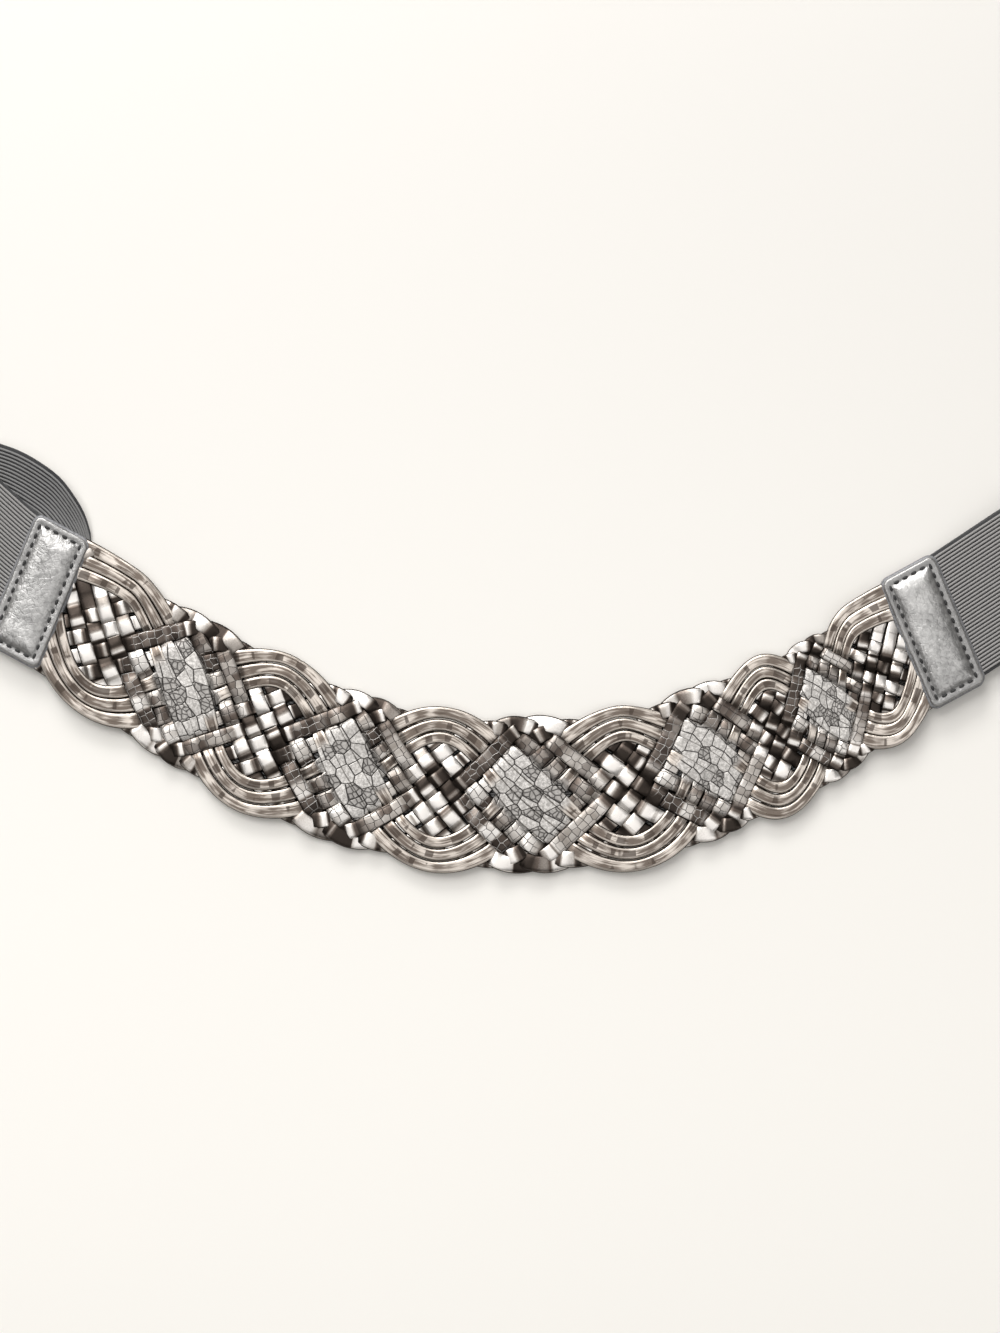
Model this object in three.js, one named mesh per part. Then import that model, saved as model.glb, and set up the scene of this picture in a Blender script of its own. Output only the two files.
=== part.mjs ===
import * as THREE from "three";

// Stretch belt lying flat: a plaited front panel between two padded tabs, closed by a wide elastic.
// Lengths are millimetres. X runs along the belt, Y across it, Z up from the surface that it lies on.
// Along the panel, u counts the pattern repeats from the left tab's middle (0) to the right one's (6):
// a plaited diamond at each whole number and a ringed lobe half way between. v is the distance from the midline.

// The midline of the lying panel, a knot every half repeat, curved in the plane like a shallow smile
const MIDLINE = [
  { x: -164.5, y: 26.6 },
  { x: -139.3, y: 7.7 },
  { x: -110.0, y: -9.8 },
  { x: -83.9, y: -24.5 },
  { x: -53.6, y: -37.0 },
  { x: -22.5, y: -43.0 },
  { x: 10.7, y: -45.2 },
  { x: 48.2, y: -41.6 },
  { x: 77.9, y: -29.8 },
  { x: 101.8, y: -19.8 },
  { x: 120.0, y: -9.8 },
  { x: 135.7, y: 0.2 },
  { x: 153.9, y: 12.3 },
];
const REPEATS = (MIDLINE.length - 1) / 2;

// Thicknesses and the clear gap kept between pieces
const GAP = 0.3;
const TINY = 1e-6;
const STRIP_THICKNESS = 1.0;
const ELASTIC_THICKNESS = 1.5;
const BACKING_THICKNESS = 1.0;

// Heights above the surface, from the elastic's hidden run up to the tabs' faces
const LOWER_STRIP_Z = ELASTIC_THICKNESS + GAP;
const LAYER_STEP = STRIP_THICKNESS + GAP;
const BACKING_Z = ELASTIC_THICKNESS + GAP;
const TAB_LIFT = BACKING_THICKNESS + GAP;
const FACE_Z = LOWER_STRIP_Z + TAB_LIFT + 2 * LAYER_STEP;

// Strips run from just inside the left tab to just inside the right tab
const STRIP_START = 0.09;
const STRIP_END = REPEATS - 0.13;
// The panel is lifted over the tabs' backings, fully before LIFT_FULL repeats and not at all after LIFT_NONE
const LIFT_FULL = 0.36;
const LIFT_NONE = 1.0;
const LIFT_FULL_RIGHT = 0.5;
const LIFT_NONE_RIGHT = 1.2;

// Silver strips: folded at the panel's edge, at these places from each diamond's middle
const SILVER_FOLDS = [
  { name: "silver_strip_1", along: -0.214, reach: 22.6 },
  { name: "silver_strip_2", along: -0.071, reach: 24.0 },
  { name: "silver_strip_3", along: 0.071, reach: 24.0 },
  { name: "silver_strip_4", along: 0.214, reach: 22.6 },
];
const SILVER_REACH = 24.0;
const SILVER_HALF_WIDTH = 0.063;
const SILVER_SECTIONS_PER_LEG = 5;
const FOLD_CORNER_TAPER = 0.55;
const FOLD_CLEARANCE = 0.06;
const FOLD_ANGLES = [-90, -45, 0, 45, 90];

// Ring strips: three side by side, the outer one following RING_SLOPE until it rounds off over the lobe
const RING_SLOPE = 46.6;
const RING_STEP = 1 / 7;
const RING_REACH = 26.1;
const RING_PITCH_AT_LOBE = 4.36;
const RING_FILL = 0.45;
const RING_STATIONS = [0, 0.14, 0.27, 0.34, 0.4, 0.45, 0.5];
const RING_LEVEL_CHANGE = 0.05;
// Next to the tabs the upper arcs stay wide instead of closing in on a diamond
const RING_END_SPREAD = 0.33;
// Rank of a ring strip in the lobes above and below the midline: 0 is the outermost
const RING_RANKS = [
  { above: 0, below: 2 },
  { above: 1, below: 1 },
  { above: 2, below: 0 },
];

// Tabs: slightly skewed rectangles with padded faces, turned by the angles of their short and long sides
const TAB_HEADING = 28.5;
const TAB_LEAN = 22.6;
const TAB_LENGTH = 21.0;
const TAB_WIDTH = 48.6;
const TAB_CORNER = 2.8;
const TAB_CORNER_STEPS = 4;
const BACKING_MARGIN = 0.5;
// The face from its foot to its padded middle: how far each outline is set in, and its height
const FACE_PROFILE = [
  { inset: 0.0, height: 0.0 },
  { inset: 0.0, height: 0.8 },
  { inset: 0.6, height: 1.2 },
  { inset: 2.0, height: 1.1 },
  { inset: 3.0, height: 1.5 },
  { inset: 5.0, height: 2.0 },
  { inset: 8.0, height: 2.2 },
];

// Elastic: its direction at the tabs, and its width there and, drawn in a little, below the panel
const ELASTIC_HEADING = 33.5;
const ELASTIC_WIDTH = 46.6;
const ELASTIC_WIDTH_BELOW = 43.6;
const ELASTIC_STATION_STEP = 0.3;
// The upper run of the elastic outside a tab: out from the tab's middle, and the height of its mid-thickness
const UPPER_RUN = [
  { out: 5.5, z: 4.25 },
  { out: 11.0, z: 4.25 },
  { out: 16.0, z: 4.6 },
  { out: 25.0, z: 6.0 },
  { out: 36.0, z: 7.9 },
  { out: 46.0, z: 8.85 },
];
const TURN_OUT = 46.0;
const TURN_STEPS = 8;
// The elastic shifts sideways on its way through each end loop, at the start and the end of the loop
const TURN_SHIFT = { left: { from: 5.0, to: 10.0 }, right: { from: 0.0, to: 0.0 } };
// The hidden run where it comes out from behind the left tab: shifted up, with its upper edge curling off the surface
const LEFT_CURL = [
  { out: 40.0, shift: 12.0, lift: 1.5 },
  { out: 33.5, shift: 13.6, lift: 3.0 },
  { out: 25.8, shift: 15.4, lift: 4.2 },
  { out: 17.5, shift: 16.1, lift: 4.8 },
  { out: 8.7, shift: 15.6, lift: 4.8 },
  { out: 1.0, shift: 12.8, lift: 4.0 },
  { out: -4.8, shift: 9.3, lift: 2.6 },
  { out: -9.0, shift: 4.9, lift: 0.8 },
  { out: -11.6, shift: 1.2, lift: 0.0 },
];
const RIGHT_RUN = [
  { out: -9.0, shift: 0, lift: 0 },
  { out: 4.0, shift: 0, lift: 0 },
  { out: 20.0, shift: 0, lift: 0 },
  { out: 36.0, shift: 0, lift: 0 },
];
const CURL_STARTS_AT = TAB_WIDTH / 2 + 2.1;

const MATERIALS = {
  elastic: new THREE.MeshStandardMaterial({ color: 0x77777a, roughness: 0.85, metalness: 0.0 }),
  tab: new THREE.MeshStandardMaterial({ color: 0xb4b4b6, roughness: 0.4, metalness: 0.7 }),
  backing: new THREE.MeshStandardMaterial({ color: 0x8a8a8c, roughness: 0.6, metalness: 0.2 }),
  champagne: new THREE.MeshStandardMaterial({ color: 0xb5a79a, roughness: 0.3, metalness: 0.85 }),
  silver: new THREE.MeshStandardMaterial({ color: 0xa9a8a8, roughness: 0.25, metalness: 0.9 }),
};

const radians = THREE.MathUtils.degToRad;
const smoothstep = THREE.MathUtils.smoothstep;

const midline = new THREE.CatmullRomCurve3(
  MIDLINE.map(({ x, y }) => new THREE.Vector3(x, y, 0)),
  false,
  "catmullrom",
  0.5,
);

// A point of the panel: u repeats along the midline, v to its left, z above the surface
function panelPoint(u, v, z) {
  const t = THREE.MathUtils.clamp(u / REPEATS, 0, 1);
  const point = midline.getPoint(t);
  const along = midline.getTangent(t);
  return new THREE.Vector3(point.x - v * along.y, point.y + v * along.x, z);
}

// Height that the panel gains over the tabs' backings
function tabLift(u) {
  const left = 1 - smoothstep(u, LIFT_FULL, LIFT_NONE);
  const right = smoothstep(u, REPEATS - LIFT_NONE_RIGHT, REPEATS - LIFT_FULL_RIGHT);
  return TAB_LIFT * Math.max(left, right);
}

// A closed solid through sections that each have the same number of points on an outer and an inner side
function loft(sections) {
  const across = sections[0].outer.length;
  const around = 2 * across;
  const positions = sections.flatMap(({ outer, inner }) =>
    [...outer, ...inner.toReversed()].flatMap((point) => point.toArray()),
  );
  const index = [];
  const quad = (a, b, c, d) => index.push(a, b, c, a, c, d);
  for (let row = 0; row < sections.length - 1; row += 1) {
    for (let k = 0; k < around; k += 1) {
      const next = (k + 1) % around;
      const here = row * around;
      quad(here + k, here + next, here + around + next, here + around + k);
    }
  }
  const last = (sections.length - 1) * around;
  for (let k = 0; k < across - 1; k += 1) {
    quad(k, around - 1 - k, around - 2 - k, k + 1);
    quad(last + k, last + k + 1, last + around - 2 - k, last + around - 1 - k);
  }
  return outwardGeometry(positions, index);
}

// Builds the geometry and turns its faces outwards, so that the volume they enclose is positive
function outwardGeometry(positions, index) {
  const corner = (i) => new THREE.Vector3().fromArray(positions, 3 * index[i]);
  let volume = 0;
  for (let i = 0; i < index.length; i += 3) {
    volume += corner(i).dot(corner(i + 1).cross(corner(i + 2)));
  }
  const ordered = volume < 0 ? index.toReversed() : index;
  const geometry = new THREE.BufferGeometry();
  geometry.setAttribute("position", new THREE.Float32BufferAttribute(positions, 3));
  geometry.setIndex(ordered);
  geometry.computeVertexNormals();
  return geometry;
}

function namedMesh(name, geometry, material) {
  const mesh = new THREE.Mesh(geometry, material);
  mesh.name = name;
  return mesh;
}

// Silver strips
// A strip is a flattened helix: up to the right in the lower layer, folded over the panel's edge,
// down to the right in the upper layer, and folded back under.
function silverSection(u, halfWidth, outer, inner) {
  const ends = ({ v, z }) =>
    [u - halfWidth, u + halfWidth].map((edge) => panelPoint(edge, v, z + tabLift(edge)));
  return { outer: ends(outer), inner: ends(inner) };
}

function silverStrip({ along, reach }, side) {
  const middleZ = LOWER_STRIP_Z + (LAYER_STEP + STRIP_THICKNESS) / 2;
  const outerRadius = (LAYER_STEP + STRIP_THICKNESS) / 2;
  const innerRadius = (LAYER_STEP - STRIP_THICKNESS) / 2;
  const flat = reach - outerRadius;
  const overhang = (SILVER_REACH - flat) / (2 * SILVER_REACH);
  // Where its upper fold would meet the wide arcs next to a tab, the strip ends just short of that fold
  const start = side > 0 ? Math.max(STRIP_START, along + FOLD_CLEARANCE) : STRIP_START;
  const end = side > 0 ? Math.min(STRIP_END, REPEATS + along - FOLD_CLEARANCE) : STRIP_END;
  const sections = [];
  const add = (u, halfWidth, outer, inner) => {
    if (u > start - TINY && u < end + TINY) {
      sections.push(silverSection(u, halfWidth, outer, inner));
    }
  };
  for (let fold = -1; fold <= REPEATS; fold += 1) {
    const up = side * (fold % 2 === 0 ? 1 : -1);
    const foldAt = fold + along;
    // The fold goes from the lower to the upper layer at the top edge, and back at the bottom edge
    FOLD_ANGLES.forEach((degrees) => {
      const angle = radians(degrees) * up;
      const swing = Math.sin(radians(degrees)) * overhang;
      const taper = 1 - FOLD_CORNER_TAPER * Math.cos(angle);
      const onArc = (radius) => ({
        v: up * (flat + radius * Math.cos(angle)),
        z: middleZ + radius * Math.sin(angle),
      });
      add(foldAt + swing, SILVER_HALF_WIDTH * taper, onArc(outerRadius), onArc(innerRadius));
    });
    // The leg to the next fold lies flat in the upper layer when it runs down, in the lower one when it runs up
    const legPlaces = [start - foldAt, end - foldAt];
    for (let step = 1; step < SILVER_SECTIONS_PER_LEG; step += 1) {
      legPlaces.push(THREE.MathUtils.lerp(overhang, 1 - overhang, step / SILVER_SECTIONS_PER_LEG));
    }
    const onLeg = legPlaces.filter((place) => place > overhang + 0.02 && place < 0.98 - overhang);
    onLeg.sort((a, b) => a - b);
    onLeg.forEach((place) => {
      const v = up * SILVER_REACH * (1 - 2 * place);
      const outer = { v, z: middleZ + up * outerRadius };
      const inner = { v, z: middleZ + up * innerRadius };
      add(foldAt + place, SILVER_HALF_WIDTH, outer, inner);
    });
  }
  return loft(sections);
}

// Ring strips
// Height of the outermost ring strip's middle over the midline, at a distance from the nearest diamond
function outerRing(distance) {
  const straight = RING_SLOPE * (distance + RING_STEP);
  const apex = RING_SLOPE * (0.5 + RING_STEP);
  const round = (2 * (apex - RING_REACH)) / RING_SLOPE;
  const toLobe = 0.5 - distance;
  if (toLobe >= round) return straight;
  return RING_REACH - (RING_SLOPE * toLobe * toLobe) / (2 * round);
}

// Distance between neighbouring ring strips, measured straight across the belt
function ringPitch(distance) {
  return THREE.MathUtils.lerp(RING_SLOPE * RING_STEP, RING_PITCH_AT_LOBE, smoothstep(distance, 0, 0.5));
}

function ringSection(u, ranks, side) {
  const lobe = THREE.MathUtils.clamp(Math.floor(u), 0, REPEATS - 1);
  const up = side * (lobe % 2 === 0 ? 1 : -1);
  const fromLeft = u - lobe;
  const nextToTab = Math.min(u, REPEATS - u) < 0.5;
  const closingIn = Math.min(fromLeft, 1 - fromLeft);
  const staysWide = THREE.MathUtils.lerp(RING_END_SPREAD, 0.5, 2 * closingIn);
  const distance = nextToTab && up > 0 ? staysWide : closingIn;
  const rank = up > 0 ? ranks.above : ranks.below;
  const pitch = ringPitch(distance);
  const middle = up * (outerRing(distance) - rank * pitch);
  const half = RING_FILL * pitch;
  const change = smoothstep(fromLeft, 0.5 - RING_LEVEL_CHANGE, 0.5 + RING_LEVEL_CHANGE);
  const level = up > 0 ? change : 1 - change;
  const z = LOWER_STRIP_Z + LAYER_STEP * level + tabLift(u);
  const ends = (height) => [panelPoint(u, middle - half, height), panelPoint(u, middle + half, height)];
  return { outer: ends(z), inner: ends(z + STRIP_THICKNESS) };
}

function ringStrip(ranks, side) {
  const stations = [STRIP_START, STRIP_END];
  for (let lobe = 0; lobe < REPEATS; lobe += 1) {
    RING_STATIONS.forEach((distance) => stations.push(lobe + distance, lobe + 1 - distance));
  }
  const inside = stations.filter((u) => u >= STRIP_START && u <= STRIP_END);
  const ordered = [...new Set(inside.map((u) => Number(u.toFixed(3))))].sort((a, b) => a - b);
  return loft(ordered.map((u) => ringSection(u, ranks, side)));
}

// Tabs
// Outline of a tab, rounded at the corners and set in by a margin
function tabOutline(length, width, inset, z) {
  const corner = Math.max(TAB_CORNER - inset, 0.6);
  const points = [];
  [
    { x: 1, y: 1, start: 0 },
    { x: -1, y: 1, start: 90 },
    { x: -1, y: -1, start: 180 },
    { x: 1, y: -1, start: 270 },
  ].forEach(({ x, y, start }) => {
    for (let step = 0; step <= TAB_CORNER_STEPS; step += 1) {
      const angle = radians(start + (90 * step) / TAB_CORNER_STEPS);
      points.push(
        new THREE.Vector3(
          x * (length / 2 - inset - corner) + corner * Math.cos(angle),
          y * (width / 2 - inset - corner) + corner * Math.sin(angle),
          z,
        ),
      );
    }
  });
  return points;
}

// A closed solid from outlines stacked upwards, with flat lowest and highest faces
function stack(outlines) {
  const around = outlines[0].length;
  const positions = outlines.flat().flatMap((point) => point.toArray());
  const index = [];
  for (let row = 0; row < outlines.length - 1; row += 1) {
    for (let k = 0; k < around; k += 1) {
      const next = (k + 1) % around;
      const here = row * around;
      index.push(here + k, here + next, here + around + next);
      index.push(here + k, here + around + next, here + around + k);
    }
  }
  const top = (outlines.length - 1) * around;
  for (let k = 1; k < around - 1; k += 1) {
    index.push(0, k + 1, k);
    index.push(top, top + k, top + k + 1);
  }
  return outwardGeometry(positions, index);
}

// Leans the tab's across direction outwards, as it lies in the curve of the belt
function leaning(geometry, side) {
  const lean = radians(TAB_HEADING - TAB_LEAN);
  const shear = new THREE.Matrix4().makeShear(0, 0, side * Math.tan(lean), 0, 0, 0);
  const shorten = new THREE.Matrix4().makeScale(1, Math.cos(lean), 1);
  return geometry.applyMatrix4(shorten).applyMatrix4(shear);
}

function tab(side, place) {
  const faceOutlines = FACE_PROFILE.map(({ inset, height }) =>
    tabOutline(TAB_LENGTH, TAB_WIDTH, inset, FACE_Z + height),
  );
  const backingOutlines = [BACKING_Z, BACKING_Z + BACKING_THICKNESS].map((z) =>
    tabOutline(TAB_LENGTH + 2 * BACKING_MARGIN, TAB_WIDTH + 2 * BACKING_MARGIN, 0, z),
  );
  const name = side < 0 ? "tab_left" : "tab_right";
  const group = new THREE.Group();
  group.add(namedMesh(`${name}_face`, leaning(stack(faceOutlines), side), MATERIALS.tab));
  group.add(namedMesh(`${name}_backing`, leaning(stack(backingOutlines), side), MATERIALS.backing));
  group.position.set(place.x, place.y, 0);
  group.rotation.z = side < 0 ? Math.PI - radians(TAB_HEADING) : radians(TAB_HEADING);
  return group;
}

// Elastic
// A point near a tab: out from the tab's middle along the elastic, v towards the belt's upper edge
function tabPoint(side, out, v, z) {
  const place = side < 0 ? MIDLINE[0] : MIDLINE[MIDLINE.length - 1];
  const heading = radians(ELASTIC_HEADING);
  const lean = radians(TAB_LEAN);
  return new THREE.Vector3(
    place.x + side * (out * Math.cos(heading) - v * Math.sin(lean)),
    place.y + out * Math.sin(heading) + v * Math.cos(lean),
    z,
  );
}

// One section: lower edge, the line where the curl starts, and upper edge, on the loop's outer and inner side
function elasticSection(place, { width, shift = 0, z, facing, lift = 0 }) {
  const lower = shift - width / 2;
  const upper = shift + width / 2;
  const bend = Math.min(CURL_STARTS_AT, upper - 1);
  const half = ELASTIC_THICKNESS / 2;
  const along = Math.cos(facing);
  const across = Math.sin(facing);
  const onSide = (sign) => [
    place(sign * half * along, lower, z + sign * half * across),
    place(sign * half * along, bend, z + sign * half * across),
    place(sign * half * along, upper, z + sign * half * across + lift),
  ];
  return { outer: onSide(1), inner: onSide(-1) };
}

// The sections of one end, from inside the tab out over the loop and back to the panel's side of the tab
function elasticEnd(side) {
  const shift = side < 0 ? TURN_SHIFT.left : TURN_SHIFT.right;
  const lowerRun = side < 0 ? LEFT_CURL : RIGHT_RUN.toReversed();
  const radius = (UPPER_RUN.at(-1).z - ELASTIC_THICKNESS / 2) / 2;
  const centreZ = radius + ELASTIC_THICKNESS / 2;
  const at = (out) => (thickness, v, z) => tabPoint(side, out + thickness, v, z);
  const sections = UPPER_RUN.map(({ out, z }) => {
    const sideways = shift.from * smoothstep(out, UPPER_RUN[0].out, TURN_OUT);
    return elasticSection(at(out), { width: ELASTIC_WIDTH, shift: sideways, z, facing: Math.PI / 2 });
  });
  for (let step = 1; step <= TURN_STEPS; step += 1) {
    const turned = step / TURN_STEPS;
    const angle = Math.PI * (0.5 - turned);
    const sideways = THREE.MathUtils.lerp(shift.from, shift.to, turned);
    const z = centreZ + radius * Math.sin(angle);
    const place = at(TURN_OUT + radius * Math.cos(angle));
    sections.push(elasticSection(place, { width: ELASTIC_WIDTH, shift: sideways, z, facing: angle }));
  }
  lowerRun.forEach((row) => {
    const z = ELASTIC_THICKNESS / 2;
    sections.push(
      elasticSection(at(row.out), {
        width: ELASTIC_WIDTH,
        shift: row.shift,
        lift: row.lift,
        z,
        facing: -Math.PI / 2,
      }),
    );
  });
  return sections;
}

function elasticBand() {
  const below = [];
  for (let u = ELASTIC_STATION_STEP; u <= REPEATS - ELASTIC_STATION_STEP; u += ELASTIC_STATION_STEP) {
    const place = (thickness, v, z) => panelPoint(u, v, z);
    const row = { width: ELASTIC_WIDTH_BELOW, z: ELASTIC_THICKNESS / 2, facing: -Math.PI / 2 };
    below.push(elasticSection(place, row));
  }
  return loft([...elasticEnd(-1), ...below, ...elasticEnd(1).toReversed()]);
}

// Assembly
const belt = new THREE.Group();
belt.add(namedMesh("elastic_band", elasticBand(), MATERIALS.elastic));
belt.add(tab(-1, MIDLINE[0]));
belt.add(tab(1, MIDLINE.at(-1)));
let ringNumber = 0;
let silverNumber = 0;
[1, -1].forEach((side) => {
  RING_RANKS.forEach((ranks) => {
    ringNumber += 1;
    belt.add(namedMesh(`ring_strip_${ringNumber}`, ringStrip(ranks, side), MATERIALS.champagne));
  });
  SILVER_FOLDS.forEach((fold) => {
    silverNumber += 1;
    belt.add(namedMesh(`silver_strip_${silverNumber}`, silverStrip(fold, side), MATERIALS.silver));
  });
});

// The origin is at the middle of the belt's box, on the surface that it lies on
const box = new THREE.Box3().setFromObject(belt, true);
belt.position.set(-(box.min.x + box.max.x) / 2, -(box.min.y + box.max.y) / 2, -box.min.z);
const part = new THREE.Group();
part.add(belt);

export default part;
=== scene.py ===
"""Looks of a stretch belt that lies flat: a plaited metallic panel, two padded tabs and a ribbed elastic."""

from __future__ import annotations

import itertools
import logging
import math
from dataclasses import dataclass, replace
from enum import Enum

import bpy
import numpy as np
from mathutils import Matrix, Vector

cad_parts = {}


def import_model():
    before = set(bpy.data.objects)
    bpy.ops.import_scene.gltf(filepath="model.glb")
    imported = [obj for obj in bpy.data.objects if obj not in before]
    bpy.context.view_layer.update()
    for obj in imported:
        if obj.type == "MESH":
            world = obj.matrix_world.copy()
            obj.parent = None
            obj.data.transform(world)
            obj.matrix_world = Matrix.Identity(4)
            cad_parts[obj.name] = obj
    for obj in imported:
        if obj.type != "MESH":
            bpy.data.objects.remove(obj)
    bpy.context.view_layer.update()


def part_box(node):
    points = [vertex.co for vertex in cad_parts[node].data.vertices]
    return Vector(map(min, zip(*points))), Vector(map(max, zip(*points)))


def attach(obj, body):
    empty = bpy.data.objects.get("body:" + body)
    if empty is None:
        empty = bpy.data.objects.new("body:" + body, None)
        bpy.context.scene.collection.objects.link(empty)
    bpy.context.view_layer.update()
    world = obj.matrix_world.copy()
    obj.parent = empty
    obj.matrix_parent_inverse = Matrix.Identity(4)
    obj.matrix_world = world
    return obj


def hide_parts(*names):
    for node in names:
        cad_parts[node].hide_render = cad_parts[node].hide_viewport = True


LOG = logging.getLogger("stretch_belt")
MM = 0.001

Array = np.ndarray
Colour = tuple[float, float, float]
Triple = tuple[float, float, float]
Material = bpy.types.Material
Piece = bpy.types.Object
Range = tuple[float, float]


# Node graphs


class Signal:
    """A node's output that takes part in Python sums."""

    def __init__(self, graph: Graph, socket: bpy.types.NodeSocket) -> None:
        """Keeps the output and its graph."""
        self.graph = graph
        self.socket = socket

    def _math(self, operation: str, first: object, second: object) -> Signal:
        """Adds one Math node."""
        return self.graph.node("ShaderNodeMath", {"operation": operation}, {0: first, 1: second})

    def __add__(self, other: object) -> Signal:
        """Sum."""
        return self._math("ADD", self, other)

    def __radd__(self, other: object) -> Signal:
        """Reflected sum."""
        return self._math("ADD", other, self)

    def __sub__(self, other: object) -> Signal:
        """Difference."""
        return self._math("SUBTRACT", self, other)

    def __rsub__(self, other: object) -> Signal:
        """Reflected difference."""
        return self._math("SUBTRACT", other, self)

    def __mul__(self, other: object) -> Signal:
        """Product."""
        return self._math("MULTIPLY", self, other)

    def __rmul__(self, other: object) -> Signal:
        """Reflected product."""
        return self._math("MULTIPLY", other, self)

    def stretch(self, low: float, high: float, to_low: float = 0.0, to_high: float = 1.0) -> Signal:
        """Maps a range to another with soft ends.

        Args:
            low: value that gives to_low.
            high: value that gives to_high.
            to_low: result at and before low.
            to_high: result at and after high.

        Returns:
            The mapped value.
        """
        settings = {"interpolation_type": "SMOOTHSTEP", "clamp": True}
        values = {"Value": self, "From Min": low, "From Max": high, "To Min": to_low, "To Max": to_high}
        return self.graph.node("ShaderNodeMapRange", settings, values)

    def beside(self, output: str) -> Signal:
        """Another output of the same node."""
        return Signal(self.graph, self.socket.node.outputs[output])


class Graph:
    """A node tree that is built from expressions."""

    def __init__(self, tree: bpy.types.NodeTree) -> None:
        """Empties the tree."""
        self.tree = tree
        self.tree.nodes.clear()

    def node(
        self,
        kind: str,
        settings: dict[str, object] | None = None,
        values: dict[object, object] | None = None,
        output: int | str = 0,
    ) -> Signal:
        """Adds a node, sets it up and links it.

        Args:
            kind: the node's type.
            settings: properties, set before the sockets are touched.
            values: numbers, colours or signals by socket name or number.
            output: the output that is returned.

        Returns:
            The chosen output, or the first input of a node that has no outputs.
        """
        made = self.tree.nodes.new(kind)
        for key, value in (settings or {}).items():
            setattr(made, key, value)
        for key, value in (values or {}).items():
            if isinstance(value, Signal):
                self.tree.links.new(value.socket, made.inputs[key])
            else:
                made.inputs[key].default_value = value
        return Signal(self, made.outputs[output] if len(made.outputs) else made.inputs[0])


class MaterialGraph(Graph):
    """The node graph of one material."""

    def __init__(self, name: str) -> None:
        """Starts an empty material.

        Args:
            name: the material's name.
        """
        self.material = bpy.data.materials.new(name)
        self.material.use_nodes = True
        super().__init__(self.material.node_tree)

    def ramp(self, factor: Signal, stops: list[tuple[float, Colour]]) -> Signal:
        """Colour that follows a value.

        Args:
            factor: the value from 0 to 1.
            stops: places and their colours.

        Returns:
            The colour.
        """
        made = self.node("ShaderNodeValToRGB", {}, {"Fac": factor}, "Color")
        elements = made.socket.node.color_ramp.elements
        while len(elements) < len(stops):
            elements.new(0.5)
        for element, (place, colour) in zip(elements, stops):
            element.position = place
            element.color = (*colour, 1.0)
        return made

    def mix(self, factor: Signal | float, first: Signal | Colour, second: Signal | Colour) -> Signal:
        """Mixes two colours.

        Args:
            factor: share of the second colour.
            first: colour or signal.
            second: colour or signal.

        Returns:
            The mixed colour.
        """
        full = [(*c, 1.0) if isinstance(c, tuple) else c for c in (first, second)]
        return self.node("ShaderNodeMix", {"data_type": "RGBA"}, {0: factor, 6: full[0], 7: full[1]}, 2)

    def place(self) -> Signal:
        """Object coordinates, in metres."""
        return self.node("ShaderNodeTexCoord", output="Object")

    def uv(self, along: float = 1.0, across: float = 1.0) -> Signal:
        """The piece's UV map in millimetres, scaled along and across."""
        place = self.node("ShaderNodeTexCoord", output="UV")
        return self.node("ShaderNodeMapping", {}, {"Vector": place, "Scale": (along, across, 1.0)})

    def attribute(self, name: str) -> Signal:
        """A value stored on the piece's mesh."""
        return self.node("ShaderNodeAttribute", {"attribute_name": name}, output="Fac")

    def noise(self, place: Signal, scale: float, detail: float, rough: float) -> Signal:
        """Soft noise from 0 to 1.

        Args:
            place: coordinates.
            scale: size of the pattern.
            detail: octaves.
            rough: share of the finer octaves.

        Returns:
            The noise.
        """
        values = {"Vector": place, "Scale": scale, "Detail": detail, "Roughness": rough}
        return self.node("ShaderNodeTexNoise", {"normalize": True}, values)

    def bump(self, height: Signal, depth: float, strength: float) -> Signal:
        """Normal from a height whose 1 stands for a depth in metres."""
        return self.node("ShaderNodeBump", {}, {"Height": height, "Distance": depth, "Strength": strength})

    def surface(
        self, colour: Signal, rough: Signal | float, metallic: float, normal: Signal | None, **plain: float
    ) -> Material:
        """Ends the graph in a Principled shader.

        Args:
            colour: base colour.
            rough: roughness.
            metallic: metallic share.
            normal: the bumped normal, if there is one.
            **plain: further inputs by name, with spaces as underscores.

        Returns:
            The finished material.
        """
        values = {"Base Color": colour, "Roughness": rough, "Metallic": metallic}
        values.update({key.replace("_", " "): value for key, value in plain.items()})
        if normal is not None:
            values["Normal"] = normal
        shader = self.node("ShaderNodeBsdfPrincipled", {}, values, "BSDF")
        self.node("ShaderNodeOutputMaterial", {}, {"Surface": shader})
        return self.material


# Finishes


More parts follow.
